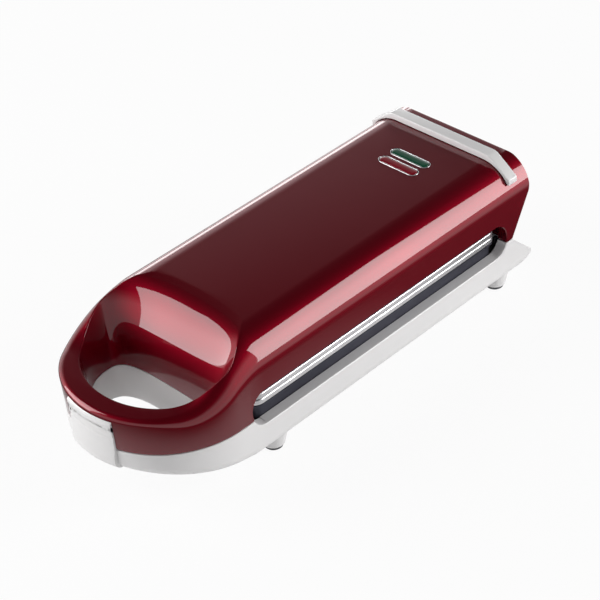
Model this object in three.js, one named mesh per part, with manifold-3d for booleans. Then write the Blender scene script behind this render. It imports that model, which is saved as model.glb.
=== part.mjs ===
// Electric churros maker: a hinged pair of shells with a ring handle, two fluted mould plates,
// heaters, reflector pans, a front latch and a rear bar.
// Millimetres. X is across, +Y points back to the hinge, +Z is up, the ground is z = 0.
// While the pieces are made, y = 0 is the centre of the ring handle. The last lines move the
// whole model so that its origin lies under the middle of its box.

import * as THREE from 'three';
import { mergeVertices } from 'three/addons/utils/BufferGeometryUtils.js';
import Module from 'manifold-3d';

const wasm = await Module();
wasm.setup();

// Shells
const bodyWidth = 124;
const radius = bodyWidth / 2;
const bodyLength = 268;       // from the ring's centre to the rear face of the lid
const wall = 2.5;
const gap = 0.3;              // between pieces that touch
const seam = 42;              // height of the parting plane of the shells above the ground
const shellGap = 0.5;         // open line between the closed shells
const lidHeight = 51;         // flat top of the lid above the seam
const lidShoulder = 23;       // radius of the lid's long edges
const ringHeight = 25.5;      // top of the ring at its front, above the seam
const ringShoulder = 3.5;
const shoulderFront = -(radius - 7); // the shoulder grows from here to slopeBack
const lidLean = 0.08;         // the lid's sides draw in by this much for each mm of height
const ringBulge = 0.06;       // the ring's wall swells out by this much for each mm of height
const slopeFront = -(radius - 24); // the top falls from slopeBack to slopeFront
const slopeBack = 22;
const baseDepth = 30;         // underside of the base below the seam
const baseBilge = 9;
const ringDepth = 14.5;       // underside of the ring at its front, below the seam
const ringBilge = 6;
const keelBack = 12;          // the underside rises from here to the front of the ring
const lidRearKnee = 29;       // height above the seam where the lid's rear face turns in
const baseTip = 20;           // depth below the seam of the base's rearmost edge
const baseHeel = 16;          // run of the base's lower rear face
const heelEndRun = 2.5;       // where that face ends and the rear tip's rounding starts
const heelEndDrop = 1.8;
const rearFillet = 2.5;

// Finger opening
const holeHalf = radius - 22; // half width at the seam
const holeHalfTop = radius - 3;
const holeMiddle = -14;       // widest place at the seam
const holeFront = -(radius - 16);
const holeFrontTop = -(radius - 9);
const holeBack = 0.6;
const scoopReach = 33;        // how far the scoop runs back at the lid's top
const holeCorner = 3.5;       // squareness of the rear corners at the seam
const holeCornerTop = 2.5;

// Side slots between the shells
const slotFront = 10;
const slotBack = bodyLength - 25;
const slotTop = 16;
const slotBottom = 7.6;
const slotRadius = 11;
const sillWidth = 5;
const sillDepth = 3;

// Hinge
const hingeY = bodyLength - 19;
const hingeDrop = 1;          // axis below the seam
const notchFront = 1.4;       // the notch between the shells begins this far before the axis
const knuckleRadius = 5;
const knuckleClear = 0.6;
const knuckleInner = radius - 42; // inner end of the first base knuckle
const knuckleWidth = 8;
const lidKnuckleWidth = 9;
const hingePinRadius = 1.7;

// Latch
const latchWidth = 37;
const latchProud = 1;
const latchThick = 3.3;
const latchPinY = -(radius - 4.5);
const latchPinZ = 17.5;
const latchHeadRise = 4;      // the head shows up to this height above its pin
const latchPinRadius = 1.25;
const hookHalf = 7;
const hookTop = -8;
const hookBottom = -11;
const hookReach = 2.3;        // the hook stands this far in from the latch's inner face
const springRadius = 2.3;
const springWire = 0.45;
const springTurns = 5;
const springHalf = 4.2;

// Mould plates
const plateSeam = 6;          // meeting plane of the plates above the seam
const plateHalfGap = 0.25;
const plateFront = 16;
const plateBack = bodyLength - 28;
const rimHalf = radius - 6;
const rimThick = 3.75;
const rimRadius = 8;
const plateStep = 3.5;        // the body of a plate lies this far inside its rim
const plateBody = 9;          // thickness of the body behind the rim
const mouldCount = 4;
const mouldPitch = (rimHalf - 6) * 2 / mouldCount;
const mouldLength = plateBack - plateFront - 24;
const mouldRadius = 8.9;
const fluteDepth = 0.9;
const fluteCount = 8;
const channelHalf = 8.5;      // channels in the plate's back leave a wall round each mould
const channelDepth = 7.5;

// Heaters and reflector pans
const elementRadius = 3.25;
const elementHalf = mouldPitch * 1.5;
const elementBack = plateBack - 14;
const elementTurn = elementHalf + 26.5;
const panWall = 1;
const panFlange = 2;
const panDepth = 17;
const panInset = 2;
const thermostatRadius = 8;
const thermostatHeight = 5.5;
const thermostatX = mouldPitch / 2;
const thermostatY = (plateFront + plateBack) / 2 + 2;
const fuseRadius = 2.2;
const fuseLength = 16;
const fuseY = plateBack - 44;

// Fasteners
const screwX = rimHalf - 12;
const screwInset = 6.5;
const screwRadius = 1.6;
const headRadius = 3.4;
const headHeight = 2.5;
const holeRadius = 1.9;
const counterRadius = 3.9;
const bossRadius = 5.4;
const bossWeb = 5.7;
const boreStop = 12;          // the lid's screw bores end this far below its top

// Vent slots in the underside, in two groups
const ventHalf = 18;
const ventWidth = 3.2;
const ventPitch = 8;
const ventCount = 4;
const ventStarts = [plateFront + 48, plateBack - 80];

// Feet
const footX = radius - 13;
const footFrontY = 36;
const footRearY = bodyLength - 21.5;
const footTop = 9.5;
const footTip = 7;
const padRadius = 6;
const padHeight = 2.2;
const padPeg = 2;
const padPegHeight = 3;

// Rear bar
const barFront = bodyLength - 20;
const barThick = 8.5;
const barProud = 5;
const barTopHalf = radius - 21;
const barLegX = radius - 3.5;
const barLegZ = lidHeight - 8.5;
const barScrewX = 25;
const barRoof = 1.2;          // plastic left above the bar's screws

// Indicators
const lensLength = 30;
const lensWidth = 6.5;
const readyLensY = bodyLength - 48;
const powerLensY = bodyLength - 59.5;
const lensProud = 0.6;
const lensFlange = 1.5;
const lampRadius = 2.6;
const lampLength = 16;
const lampDrop = 9;

// Electrical inlet
const blockSize = [26, 8.5, 8];
const glandBore = 3.2;
const glandNeck = 5;
const glandFlange = 7.5;

const rearY = bodyLength;
const white = new THREE.MeshStandardMaterial({ color: 0xe6e3e1, roughness: 0.35, metalness: 0 });
const red = new THREE.MeshStandardMaterial({ color: 0x8c0a1e, roughness: 0.22, metalness: 0.35 });
const steel = new THREE.MeshStandardMaterial({ color: 0xb8babd, roughness: 0.35, metalness: 0.9 });
const darkSteel = new THREE.MeshStandardMaterial({ color: 0x4a4a55, roughness: 0.5, metalness: 0.7 });
const coated = new THREE.MeshStandardMaterial({ color: 0x3a3838, roughness: 0.4, metalness: 0.4 });
const heater = new THREE.MeshStandardMaterial({ color: 0x6a6660, roughness: 0.5, metalness: 0.7 });
const rubber = new THREE.MeshStandardMaterial({ color: 0x55555a, roughness: 0.8, metalness: 0 });
const ceramic = new THREE.MeshStandardMaterial({ color: 0xd8d2c4, roughness: 0.6, metalness: 0 });
const greenLens = new THREE.MeshStandardMaterial({ color: 0x1f8a5a, roughness: 0.2, metalness: 0 });
const redLens = new THREE.MeshStandardMaterial({ color: 0xb02028, roughness: 0.2, metalness: 0 });
const lampGlass = new THREE.MeshStandardMaterial({ color: 0xe0c8a8, roughness: 0.15, metalness: 0 });

const assembly = new THREE.Group();

// Joining and cutting

function solidOf(geometry) {
  const bare = geometry.clone();
  bare.deleteAttribute('normal');
  bare.deleteAttribute('uv');
  const merged = mergeVertices(bare, 1e-5);
  return new wasm.Manifold(new wasm.Mesh({
    numProp: 3,
    vertProperties: new Float32Array(merged.attributes.position.array),
    triVerts: new Uint32Array(merged.index.array),
  }));
}

function addPiece(name, solid, material) {
  const mesh = solid.getMesh();
  const geometry = new THREE.BufferGeometry();
  geometry.setAttribute('position', new THREE.BufferAttribute(new Float32Array(mesh.vertProperties), 3));
  geometry.setIndex(new THREE.BufferAttribute(new Uint32Array(mesh.triVerts), 1));
  geometry.computeVertexNormals();
  const piece = new THREE.Mesh(geometry, material);
  piece.name = name;
  assembly.add(piece);
}

const cut = (first, ...others) => others.reduce((rest, other) => rest.subtract(other), first);

// Simple solids. Heights that start at the seam are turned into ground heights here.

function block(x0, x1, y0, y1, z0, z1) {
  const geometry = new THREE.BoxGeometry(x1 - x0, y1 - y0, z1 - z0);
  geometry.translate((x0 + x1) / 2, (y0 + y1) / 2, seam + (z0 + z1) / 2);
  return solidOf(geometry);
}

function rodAlongX(rodRadius, x0, x1, y, z, sides = 12) {
  const geometry = new THREE.CylinderGeometry(rodRadius, rodRadius, x1 - x0, sides);
  geometry.rotateZ(Math.PI / 2);
  geometry.translate((x0 + x1) / 2, y, seam + z);
  return solidOf(geometry);
}

function post(topRadius, bottomRadius, x, y, z0, z1, sides = 10) {
  const geometry = new THREE.CylinderGeometry(topRadius, bottomRadius, z1 - z0, sides);
  geometry.rotateX(Math.PI / 2);
  geometry.translate(x, y, seam + (z0 + z1) / 2);
  return solidOf(geometry);
}

function roundedShape(u0, u1, v0, v1, corner) {
  const r = Math.min(corner, (u1 - u0) / 2 - 0.01, (v1 - v0) / 2 - 0.01);
  const shape = new THREE.Shape();
  shape.absarc(u1 - r, v1 - r, r, 0, Math.PI / 2);
  shape.absarc(u0 + r, v1 - r, r, Math.PI / 2, Math.PI);
  shape.absarc(u0 + r, v0 + r, r, Math.PI, Math.PI * 1.5);
  shape.absarc(u1 - r, v0 + r, r, Math.PI * 1.5, Math.PI * 2);
  return shape;
}

function slab(x0, x1, y0, y1, corner, z0, z1, curveSegments = 3) {
  const shape = roundedShape(x0, x1, y0, y1, corner);
  const options = { depth: z1 - z0, bevelEnabled: false, curveSegments };
  const geometry = new THREE.ExtrudeGeometry(shape, options);
  geometry.translate(0, 0, seam + z0);
  return solidOf(geometry);
}

// A side view, drawn in (y, z), carried across from x0 to x1
function acrossX(shape, x0, x1, curveSegments = 4) {
  const options = { depth: x1 - x0, bevelEnabled: false, curveSegments };
  const geometry = new THREE.ExtrudeGeometry(shape, options);
  geometry.applyMatrix4(new THREE.Matrix4().makeBasis(
    new THREE.Vector3(0, 1, 0), new THREE.Vector3(0, 0, 1), new THREE.Vector3(1, 0, 0)));
  geometry.translate(x0, 0, seam);
  return solidOf(geometry);
}

// A front view, drawn in (x, z), carried back from y0 to y1
function alongY(shape, y0, y1, curveSegments = 3) {
  const options = { depth: y1 - y0, bevelEnabled: false, curveSegments };
  const geometry = new THREE.ExtrudeGeometry(shape, options);
  geometry.rotateX(Math.PI / 2);
  geometry.translate(0, y1, seam);
  return solidOf(geometry);
}

// Lofts of outlines that are alike left and right. Each level is the right half of a loop, from the
// middle of its front to the middle or the corner of its rear. Strips across close both ends.
function symmetricLoft(levels) {
  const count = levels[0].length;
  const positions = [];
  const indices = [];
  const right = (level, i) => (level * count + i) * 2;
  const left = (level, i) => right(level, i) + 1;
  for (const level of levels) {
    for (const p of level) {
      positions.push(p.x, p.y, p.z, -p.x, p.y, p.z);
    }
  }
  const quad = (a, b, c, d) => indices.push(a, b, c, a, c, d);
  for (let k = 0; k < levels.length - 1; k++) {
    for (let i = 0; i < count - 1; i++) {
      quad(right(k, i), right(k, i + 1), right(k + 1, i + 1), right(k + 1, i));
      quad(left(k, i + 1), left(k, i), left(k + 1, i), left(k + 1, i + 1));
    }
    quad(right(k, count - 1), left(k, count - 1), left(k + 1, count - 1), right(k + 1, count - 1));
  }
  const top = levels.length - 1;
  for (let i = 0; i < count - 1; i++) {
    quad(left(0, i), left(0, i + 1), right(0, i + 1), right(0, i));
    quad(right(top, i), right(top, i + 1), left(top, i + 1), left(top, i));
  }
  const geometry = new THREE.BufferGeometry();
  geometry.setAttribute('position', new THREE.Float32BufferAttribute(positions, 3));
  const kept = [];
  const apart = (a, b, k) => Math.abs(positions[a * 3 + k] - positions[b * 3 + k]);
  const same = (a, b) => apart(a, b, 0) < 1e-5 && apart(a, b, 1) < 1e-5 && apart(a, b, 2) < 1e-5;
  for (let t = 0; t < indices.length; t += 3) {
    const [a, b, c] = indices.slice(t, t + 3);
    if (!same(a, b) && !same(b, c) && !same(c, a)) {
      kept.push(a, b, c);
    }
  }
  geometry.setIndex(kept);
  geometry.translate(0, 0, seam);
  return solidOf(geometry);
}

const smooth = (t) => {
  const s = Math.min(Math.max(t, 0), 1);
  return s * s * (3 - 2 * s);
};
const blend = (a, b, t) => a + (b - a) * t;

// The outline of both shells from above: half of the ring's round front, then one long side
function sideOutline(grow) {
  const ringSteps = grow < 0 ? 7 : 12;
  const points = [];
  for (let i = 0; i <= ringSteps; i++) {
    const a = (i / ringSteps) * Math.PI / 2;
    const nx = Math.sin(a);
    const ny = -Math.cos(a);
    points.push({ x: (radius + grow) * nx, y: (radius + grow) * ny, at: radius * ny, nx, ny });
  }
  const sideSteps = [0.18, 0.36, 0.55, 0.77, 1, 1.8].map((share) => share * slopeBack);
  for (const y of [...sideSteps, rearY + radius / 2]) {
    points.push({ x: radius + grow, y, at: y, nx: 1, ny: 0 });
  }
  return points;
}

// Lid: straight wall, quarter-round shoulder and a top that falls towards the ring
function lidBlank(grow, bottom) {
  const arcSteps = grow < 0 ? 3 : 6;
  const levels = [];
  for (let k = -1; k <= arcSteps; k++) {
    levels.push(sideOutline(grow).map((p) => {
      const rise = smooth((p.at - slopeFront) / (slopeBack - slopeFront));
      const grown = smooth((p.at - shoulderFront) / (slopeBack - shoulderFront));
      const corner = blend(ringShoulder, lidShoulder, grown);
      const lean = blend(-ringBulge, lidLean, rise);
      const wallTop = blend(ringHeight, lidHeight, rise) - corner;
      const arc = Math.max(k, 0) / arcSteps * Math.PI / 2;
      const z = k < 0 ? bottom : wallTop + (corner + grow) * Math.sin(arc);
      const inset = k < 0 ? lean * bottom : lean * wallTop + (corner + grow) * (1 - Math.cos(arc));
      return new THREE.Vector3(Math.max(p.x - p.nx * inset, 0), p.y - p.ny * inset, z);
    }));
  }
  return symmetricLoft(levels);
}

// Base: straight wall and a rounded bilge, with an underside that rises to the front of the ring
function baseBlank(grow, top) {
  const arcSteps = grow < 0 ? 2 : 4;
  const levels = [];
  for (let k = arcSteps; k >= -1; k--) {
    levels.push(sideOutline(grow).map((p) => {
      const drop = Math.min(Math.max((p.at + radius) / (keelBack + radius), 0), 1);
      const corner = blend(ringBilge, baseBilge, drop);
      const wallEnd = corner - blend(ringDepth, baseDepth, drop);
      const arc = Math.max(k, 0) / arcSteps * Math.PI / 2;
      const z = k < 0 ? top : wallEnd - (corner + grow) * Math.sin(arc);
      const inset = k < 0 ? 0 : (corner + grow) * (1 - Math.cos(arc));
      return new THREE.Vector3(Math.max(p.x - p.nx * inset, 0), p.y - p.ny * inset, z);
    }));
  }
  return symmetricLoft(levels);
}

// Side views that end the shells at the rear. Both rear faces slant to the hinge and leave a notch.
function lidSide(inset) {
  const back = rearY - inset;
  const top = lidHeight - inset;
  const shape = new THREE.Shape();
  const foot = hingeY - notchFront + gap - inset * 1.2;
  shape.moveTo(-2 * radius, -20);
  shape.lineTo(foot, -20);
  shape.lineTo(foot, 0);
  shape.lineTo(back - 1, lidRearKnee - 1.5);
  shape.quadraticCurveTo(back, lidRearKnee, back, lidRearKnee + 3);
  shape.lineTo(back, top - rearFillet);
  shape.absarc(back - rearFillet, top - rearFillet, rearFillet, 0, Math.PI / 2);
  shape.lineTo(-2 * radius, top + 12);
  return shape;
}

function baseSide(inset) {
  const tip = rearY + 1.5 - inset;
  const shape = new THREE.Shape();
  const foot = hingeY - notchFront - inset * 1.2;
  const floor = -baseDepth + inset;
  shape.moveTo(-2 * radius, 20);
  shape.lineTo(-2 * radius, floor - 12);
  shape.lineTo(tip - baseHeel - 20, floor);
  shape.lineTo(tip - baseHeel, floor);
  shape.lineTo(tip - heelEndRun, -baseTip - heelEndDrop);
  shape.quadraticCurveTo(tip, -baseTip, tip - 1.6, -baseTip + 2.2);
  shape.lineTo(foot, 0);
  shape.lineTo(foot, 20);
  return shape;
}

// The finger opening. It narrows downwards, and at the top it runs back into the scoop.
function fingerHole(grow) {
  const steps = grow > 0 ? 6 : 9;
  const shares = [-1.2, -0.34, 0, 0.26, 0.5, 0.7, 0.84, 0.93, 0.98, 1, 1.2];
  const levels = shares.filter((share, i) => grow === 0 || i !== 3 && i !== 5).map((share) => {
    const z = share * lidHeight;
    const t = Math.min(Math.max((z + grow) / lidHeight, 0), 1);
    const below = Math.min(Math.max(-z / 17, 0), 1.6);
    const middle = blend(holeMiddle, 0, t);
    const half = blend(holeHalf, holeHalfTop, t ** 1.15) + below + grow;
    const front = middle - blend(holeFront, holeFrontTop, t) + grow;
    const scoop = scoopReach * (1 - Math.sqrt(Math.max(1 - t * t, 0)));
    const back = holeBack + scoop + 2 * below + grow - middle;
    const square = 2 / blend(holeCorner, holeCornerTop, t);
    const level = [];
    for (let i = 0; i <= steps; i++) {
      const a = (i / steps) * Math.PI / 2;
      level.push(new THREE.Vector3(half * Math.sin(a), middle - front * Math.cos(a), z));
    }
    for (let i = 1; i <= steps; i++) {
      const a = (i / steps) * Math.PI / 2;
      const x = i === steps ? 0 : half * Math.cos(a) ** square;
      level.push(new THREE.Vector3(x, middle + back * Math.sin(a) ** square, z));
    }
    return level;
  });
  return symmetricLoft(levels);
}

const screwSpots = [];
for (const [end, y] of [['front', plateFront + screwInset], ['rear', plateBack - screwInset]]) {
  for (const [side, x] of [['left', -screwX], ['right', screwX]]) {
    screwSpots.push({ name: `${end}_${side}`, x, y });
  }
}
const hole = fingerHole(0);
const holeLiner = fingerHole(wall);
const openLine = shellGap / 2;
const slotView = roundedShape(slotFront, slotBack, -slotBottom, slotTop, slotRadius);
const slot = acrossX(slotView, -radius - 10, radius + 10);

// Hinge: on each side a lid knuckle turns between two base knuckles, on a pin of its own
const baseKnuckles = [];
const lidKnuckles = [];
for (const side of [-1, 1]) {
  const ends = (a, b) => [Math.min(side * a, side * b), Math.max(side * a, side * b)];
  const first = knuckleInner + knuckleWidth;
  const second = first + lidKnuckleWidth + 2 * gap;
  baseKnuckles.push(ends(knuckleInner, first), ends(second, second + knuckleWidth));
  lidKnuckles.push(ends(first + gap, second - gap));
}
const knuckle = ([x0, x1], r) => rodAlongX(r, x0, x1, hingeY, -hingeDrop, 14);
const knuckleRoom = ([x0, x1]) => knuckle([x0 - gap, x1 + gap], knuckleRadius + knuckleClear);

// Front latch: a plate that follows both shells, on a barrel-shaped head that turns on a pin in
// the lid
const latchHalf = latchWidth / 2;
const latchFoot = -ringDepth - 0.6;
const inFront = (x, z0, z1) => block(-x, x, -2 * radius, -radius * 0.6, z0, z1);
const frontSkin = (outer, inner) => {
  const outside = lidBlank(outer, -0.02).add(baseBlank(outer, 0.02));
  const inside = lidBlank(inner, -0.02).add(baseBlank(inner, 0.02));
  return outside.subtract(inside);
};
const headRod = (r, x) => rodAlongX(r, -x, x, latchPinY, latchPinZ);
const headBarrel = (grow, x) => {
  const wallRadius = radius + ringBulge * (latchPinZ + latchHeadRise);
  const profile = [-1, -0.55, 0, 0.55, 1].map((share) => {
    const reach = Math.sqrt(wallRadius ** 2 - (share * x) ** 2) + latchPinY;
    return new THREE.Vector2(Math.hypot(latchHeadRise, reach) + grow, share * x);
  });
  const ends = [new THREE.Vector2(0, -x), new THREE.Vector2(0, x)];
  const barrel = new THREE.LatheGeometry([ends[0], ...profile, ends[1]], 20);
  barrel.rotateZ(-Math.PI / 2);
  barrel.translate(0, latchPinY, seam + latchPinZ);
  return solidOf(barrel);
};
const latchRoom = frontSkin(6, latchProud - latchThick - gap)
  .intersect(inFront(latchHalf + gap, -baseDepth, latchPinZ))
  .add(headBarrel(0, latchHalf + gap));
const hookIn = -radius - latchProud + latchThick + hookReach;

// Lid shell
const lidBossFoot = plateSeam + plateHalfGap + rimThick + gap + panDepth + gap;
function lidShell() {
  const outer = lidBlank(0, openLine).intersect(acrossX(lidSide(0), -radius - 10, radius + 10));
  const cavity = lidBlank(-wall, -openLine)
    .intersect(acrossX(lidSide(wall), -radius, radius))
    .subtract(holeLiner)
    .subtract(inFront(latchHalf + 5.5, -5, ringHeight));
  let shell = outer.subtract(cavity).subtract(hole).subtract(slot).subtract(latchRoom);
  for (const spot of screwSpots) {
    const boss = post(bossRadius, bossRadius, spot.x, spot.y, lidBossFoot, lidHeight);
    const bore = post(holeRadius, holeRadius, spot.x, spot.y, plateSeam, lidHeight - boreStop);
    shell = shell.add(boss.intersect(outer).subtract(hole)).subtract(bore);
  }
  for (const x of [-barScrewX, barScrewX]) {
    const bore = post(holeRadius, holeRadius, x, barFront + barThick / 2, lidHeight - 6, lidHeight + 6);
    shell = shell.subtract(bore);
  }
  for (const y of [readyLensY, powerLensY]) {
    const window = slab(-lensLength / 2 - gap, lensLength / 2 + gap, y - lensWidth / 2 - gap,
      y + lensWidth / 2 + gap, lensWidth, lidHeight - 8, lidHeight + 8, 4);
    shell = shell.subtract(window);
  }
  shell = cut(shell, ...baseKnuckles.map(knuckleRoom));
  for (const ends of lidKnuckles) {
    const web = block(...ends, hingeY - 4.5, hingeY + 2.5, 0.5, 4);
    const lug = knuckle(ends, knuckleRadius).add(web);
    shell = shell.add(lug).subtract(knuckle([ends[0] - 1, ends[1] + 1], hingePinRadius + gap));
  }
  const pinHole = rodAlongX(latchPinRadius + gap, -latchHalf - 2, latchHalf + 2, latchPinY, latchPinZ);
  return shell.subtract(pinHole);
}

// Base shell, with its feet, screw bosses, slot sills, vents and the seat of the cord gland
const glandTurn = Math.atan2(baseDepth - baseTip - heelEndDrop, baseHeel - heelEndRun);
const glandY = rearY + 1.5 - (baseHeel + heelEndRun) / 2;
const glandZ = -(baseDepth + baseTip + heelEndDrop) / 2;
function alongGland(geometry) {
  geometry.rotateX(Math.PI / 2);
  geometry.rotateX(Math.PI + glandTurn);
  geometry.translate(0, glandY, seam + glandZ);
  return solidOf(geometry);
}
const footSpots = [];
for (const [end, y] of [['front', footFrontY], ['rear', footRearY]]) {
  for (const [side, x] of [['left', -footX], ['right', footX]]) {
    footSpots.push({ name: `${end}_${side}`, x, y });
  }
}

function baseShell() {
  const outer = baseBlank(0, -openLine).intersect(acrossX(baseSide(0), -radius - 10, radius + 10));
  const cavity = baseBlank(-wall, openLine)
    .intersect(acrossX(baseSide(wall), -radius, radius))
    .subtract(holeLiner)
    .subtract(inFront(latchHalf + 5.5, -baseDepth, 5));
  const hookRoom = block(-hookHalf - gap, hookHalf + gap, -radius, hookIn + gap,
    hookBottom - gap, hookTop + gap);
  let shell = outer.subtract(cavity).subtract(hole).subtract(slot).subtract(latchRoom);
  shell = shell.subtract(hookRoom);
  for (const side of [-1, 1]) {
    const inner = side * (radius - wall - sillWidth);
    const rim = side * (radius - wall / 2);
    shell = shell.add(block(Math.min(inner, rim), Math.max(inner, rim), slotFront + slotRadius,
      slotBack - slotRadius / 2, -slotBottom - sillDepth, -slotBottom));
  }
  for (const spot of screwSpots) {
    const seat = -panDepth + plateSeam - rimThick - panWall - gap;
    shell = shell.add(post(bossRadius, bossRadius, spot.x, spot.y, -baseDepth + 1, seat));
    shell = shell.subtract(post(holeRadius, holeRadius, spot.x, spot.y, -baseDepth - 2, seat + 2));
    const sink = post(counterRadius, counterRadius, spot.x, spot.y, -baseDepth - 2, seat - bossWeb);
    shell = shell.subtract(sink);
  }
  for (const spot of footSpots) {
    const tip = -seam + padHeight + gap;
    shell = shell.add(post(footTop, footTip, spot.x, spot.y, tip, -baseDepth + 1.5, 18));
    const pegRoom = post(padPeg + gap, padPeg + gap, spot.x, spot.y, tip - 1, tip + padPegHeight + gap);
    shell = shell.subtract(pegRoom);
  }
  for (const start of ventStarts) {
    for (let i = 0; i < ventCount; i++) {
      const y = start + i * ventPitch;
      const vent = slab(-ventHalf, ventHalf, y - ventWidth / 2, y + ventWidth / 2, ventWidth,
        -baseDepth - 1, -baseDepth + wall + 1, 1);
      shell = shell.subtract(vent);
    }
  }
  shell = cut(shell, ...lidKnuckles.map(knuckleRoom));
  for (const ends of baseKnuckles) {
    const web = block(...ends, hingeY - 4.5, hingeY + 3, -6, -2);
    const lug = knuckle(ends, knuckleRadius).add(web);
    shell = shell.add(lug).subtract(knuckle([ends[0] - 1, ends[1] + 1], hingePinRadius + gap));
  }
  const neckRoom = alongGland(new THREE.CylinderGeometry(glandNeck + gap, glandNeck + gap, 16, 16));
  return shell.subtract(neckRoom);
}

addPiece('base_shell', baseShell(), white);
addPiece('lid_shell', lidShell(), red);

// Latch: plate with a hook, turned head, room for the spring and its pin
function latch() {
  const plate = frontSkin(latchProud, latchProud - latchThick)
    .intersect(inFront(latchHalf, latchFoot, latchPinZ));
  const head = lidBlank(latchProud, -0.02).intersect(headBarrel(-gap - 0.1, latchHalf));
  const hook = block(-hookHalf, hookHalf, hookIn - hookReach - 1, hookIn, hookBottom, hookTop);
  const room = springRadius + springWire + 0.7;
  const roomHalf = springHalf + 0.9;
  const springRoom = headRod(room, roomHalf)
    .add(block(-roomHalf, roomHalf, latchPinY, -radius * 0.7, latchPinZ - room, latchPinZ + room));
  return cut(plate.add(head).add(hook), springRoom, headRod(latchPinRadius + gap, latchHalf + 1));
}
addPiece('latch', latch(), white);
const latchPinHalf = latchHalf + 1.7;
addPiece('latch_pin', rodAlongX(latchPinRadius, -latchPinHalf, latchPinHalf, latchPinY, latchPinZ), steel);

// Spring of the latch: an open coil round the pin
class Coil extends THREE.Curve {
  getPoint(t) {
    const a = t * springTurns * Math.PI * 2;
    return new THREE.Vector3((2 * t - 1) * (springHalf - springWire),
      latchPinY + springRadius * Math.cos(a), seam + latchPinZ + springRadius * Math.sin(a));
  }
}

function tube(path, tubeRadius, steps, sides) {
  const section = new THREE.Shape();
  section.absarc(0, 0, tubeRadius, 0, Math.PI * 2);
  return solidOf(new THREE.ExtrudeGeometry(section, {
    steps, extrudePath: path, bevelEnabled: false, curveSegments: sides,
  }));
}
addPiece('latch_spring', tube(new Coil(), springWire, springTurns * 5, 3), steel);

// Mould plates. side is 1 for the upper plate and -1 for the lower one.
function fluteShape() {
  const shape = new THREE.Shape();
  const steps = fluteCount * 4;
  for (let i = 0; i < steps; i++) {
    const a = (i / steps) * Math.PI * 2;
    const r = mouldRadius + fluteDepth * Math.cos(fluteCount * a);
    if (i === 0) {
      shape.moveTo(r, 0);
    } else {
      shape.lineTo(r * Math.cos(a), r * Math.sin(a));
    }
  }
  return shape;
}

const span = (side, a, b) => [Math.min(plateSeam + side * a, plateSeam + side * b),
  Math.max(plateSeam + side * a, plateSeam + side * b)];
const rimBack = plateHalfGap + rimThick;
const bodyBack = rimBack + plateBody;

function mouldPlate(side) {
  const inner = rimHalf - plateStep;
  const rimSpan = span(side, plateHalfGap, rimBack);
  const rim = slab(-rimHalf, rimHalf, plateFront, plateBack, rimRadius, ...rimSpan);
  const body = slab(-inner, inner, plateFront + plateStep, plateBack - plateStep, rimRadius - plateStep,
    ...span(side, rimBack - 1, bodyBack));
  const middle = (plateFront + plateBack) / 2;
  let plate = rim.add(body);
  for (let i = 0; i < mouldCount; i++) {
    const shape = fluteShape();
    const groove = new THREE.ExtrudeGeometry(shape, { depth: mouldLength, bevelEnabled: false });
    groove.rotateX(Math.PI / 2);
    groove.translate((i - (mouldCount - 1) / 2) * mouldPitch, middle + mouldLength / 2, seam + plateSeam);
    plate = plate.subtract(solidOf(groove));
  }
  for (let i = 1; i < mouldCount; i++) {
    const x = (i - mouldCount / 2) * mouldPitch;
    const channel = new THREE.Shape();
    const back = plateSeam + side * (bodyBack + 1);
    const bottom = plateSeam + side * (bodyBack - channelDepth);
    channel.moveTo(x - channelHalf, back);
    channel.lineTo(x + channelHalf, back);
    channel.lineTo(x + channelHalf - 1, back - side * 1.4);
    channel.lineTo(x + 1, bottom);
    channel.lineTo(x - 1, bottom);
    channel.lineTo(x - channelHalf + 1, back - side * 1.4);
    plate = plate.subtract(alongY(channel, middle - mouldLength / 2, middle + mouldLength / 2));
  }
  for (const spot of screwSpots) {
    const through = side > 0 ? span(1, -1, bodyBack + 1) : span(-1, plateHalfGap + 3, bodyBack + 1);
    plate = plate.subtract(post(holeRadius, holeRadius, spot.x, spot.y, ...through));
    if (side > 0) {
      plate = plate.subtract(post(counterRadius, counterRadius, spot.x, spot.y,
        ...span(1, -1, plateHalfGap + headHeight + 2 * gap)));
    }
  }
  return plate;
}
addPiece('lower_plate', mouldPlate(-1), coated);
addPiece('upper_plate', mouldPlate(1), coated);

// Reflector pans: pressed sheet with a flange under the plate's rim
function reflector(side) {
  const outerX = rimHalf - panInset;
  const lip = rimBack + gap;
  const floor = lip + panDepth;
  const flange = slab(-outerX - panFlange, outerX + panFlange, plateFront, plateBack, rimRadius,
    ...span(side, lip, lip + panWall));
  const pan = slab(-outerX, outerX, plateFront + panInset, plateBack - panInset, rimRadius - panInset,
    ...span(side, lip, floor));
  const inside = panInset + panWall;
  const room = slab(-outerX + panWall, outerX - panWall, plateFront + inside, plateBack - inside,
    rimRadius - inside, ...span(side, lip - 1, floor - panWall));
  let sheet = flange.add(pan).subtract(room);
  for (const spot of screwSpots) {
    const through = span(side, floor - 3, floor + 2);
    sheet = sheet.subtract(post(holeRadius, holeRadius, spot.x, spot.y, ...through));
  }
  return sheet;
}
addPiece('lower_reflector', reflector(-1), darkSteel);
addPiece('upper_reflector', reflector(1), darkSteel);

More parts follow.
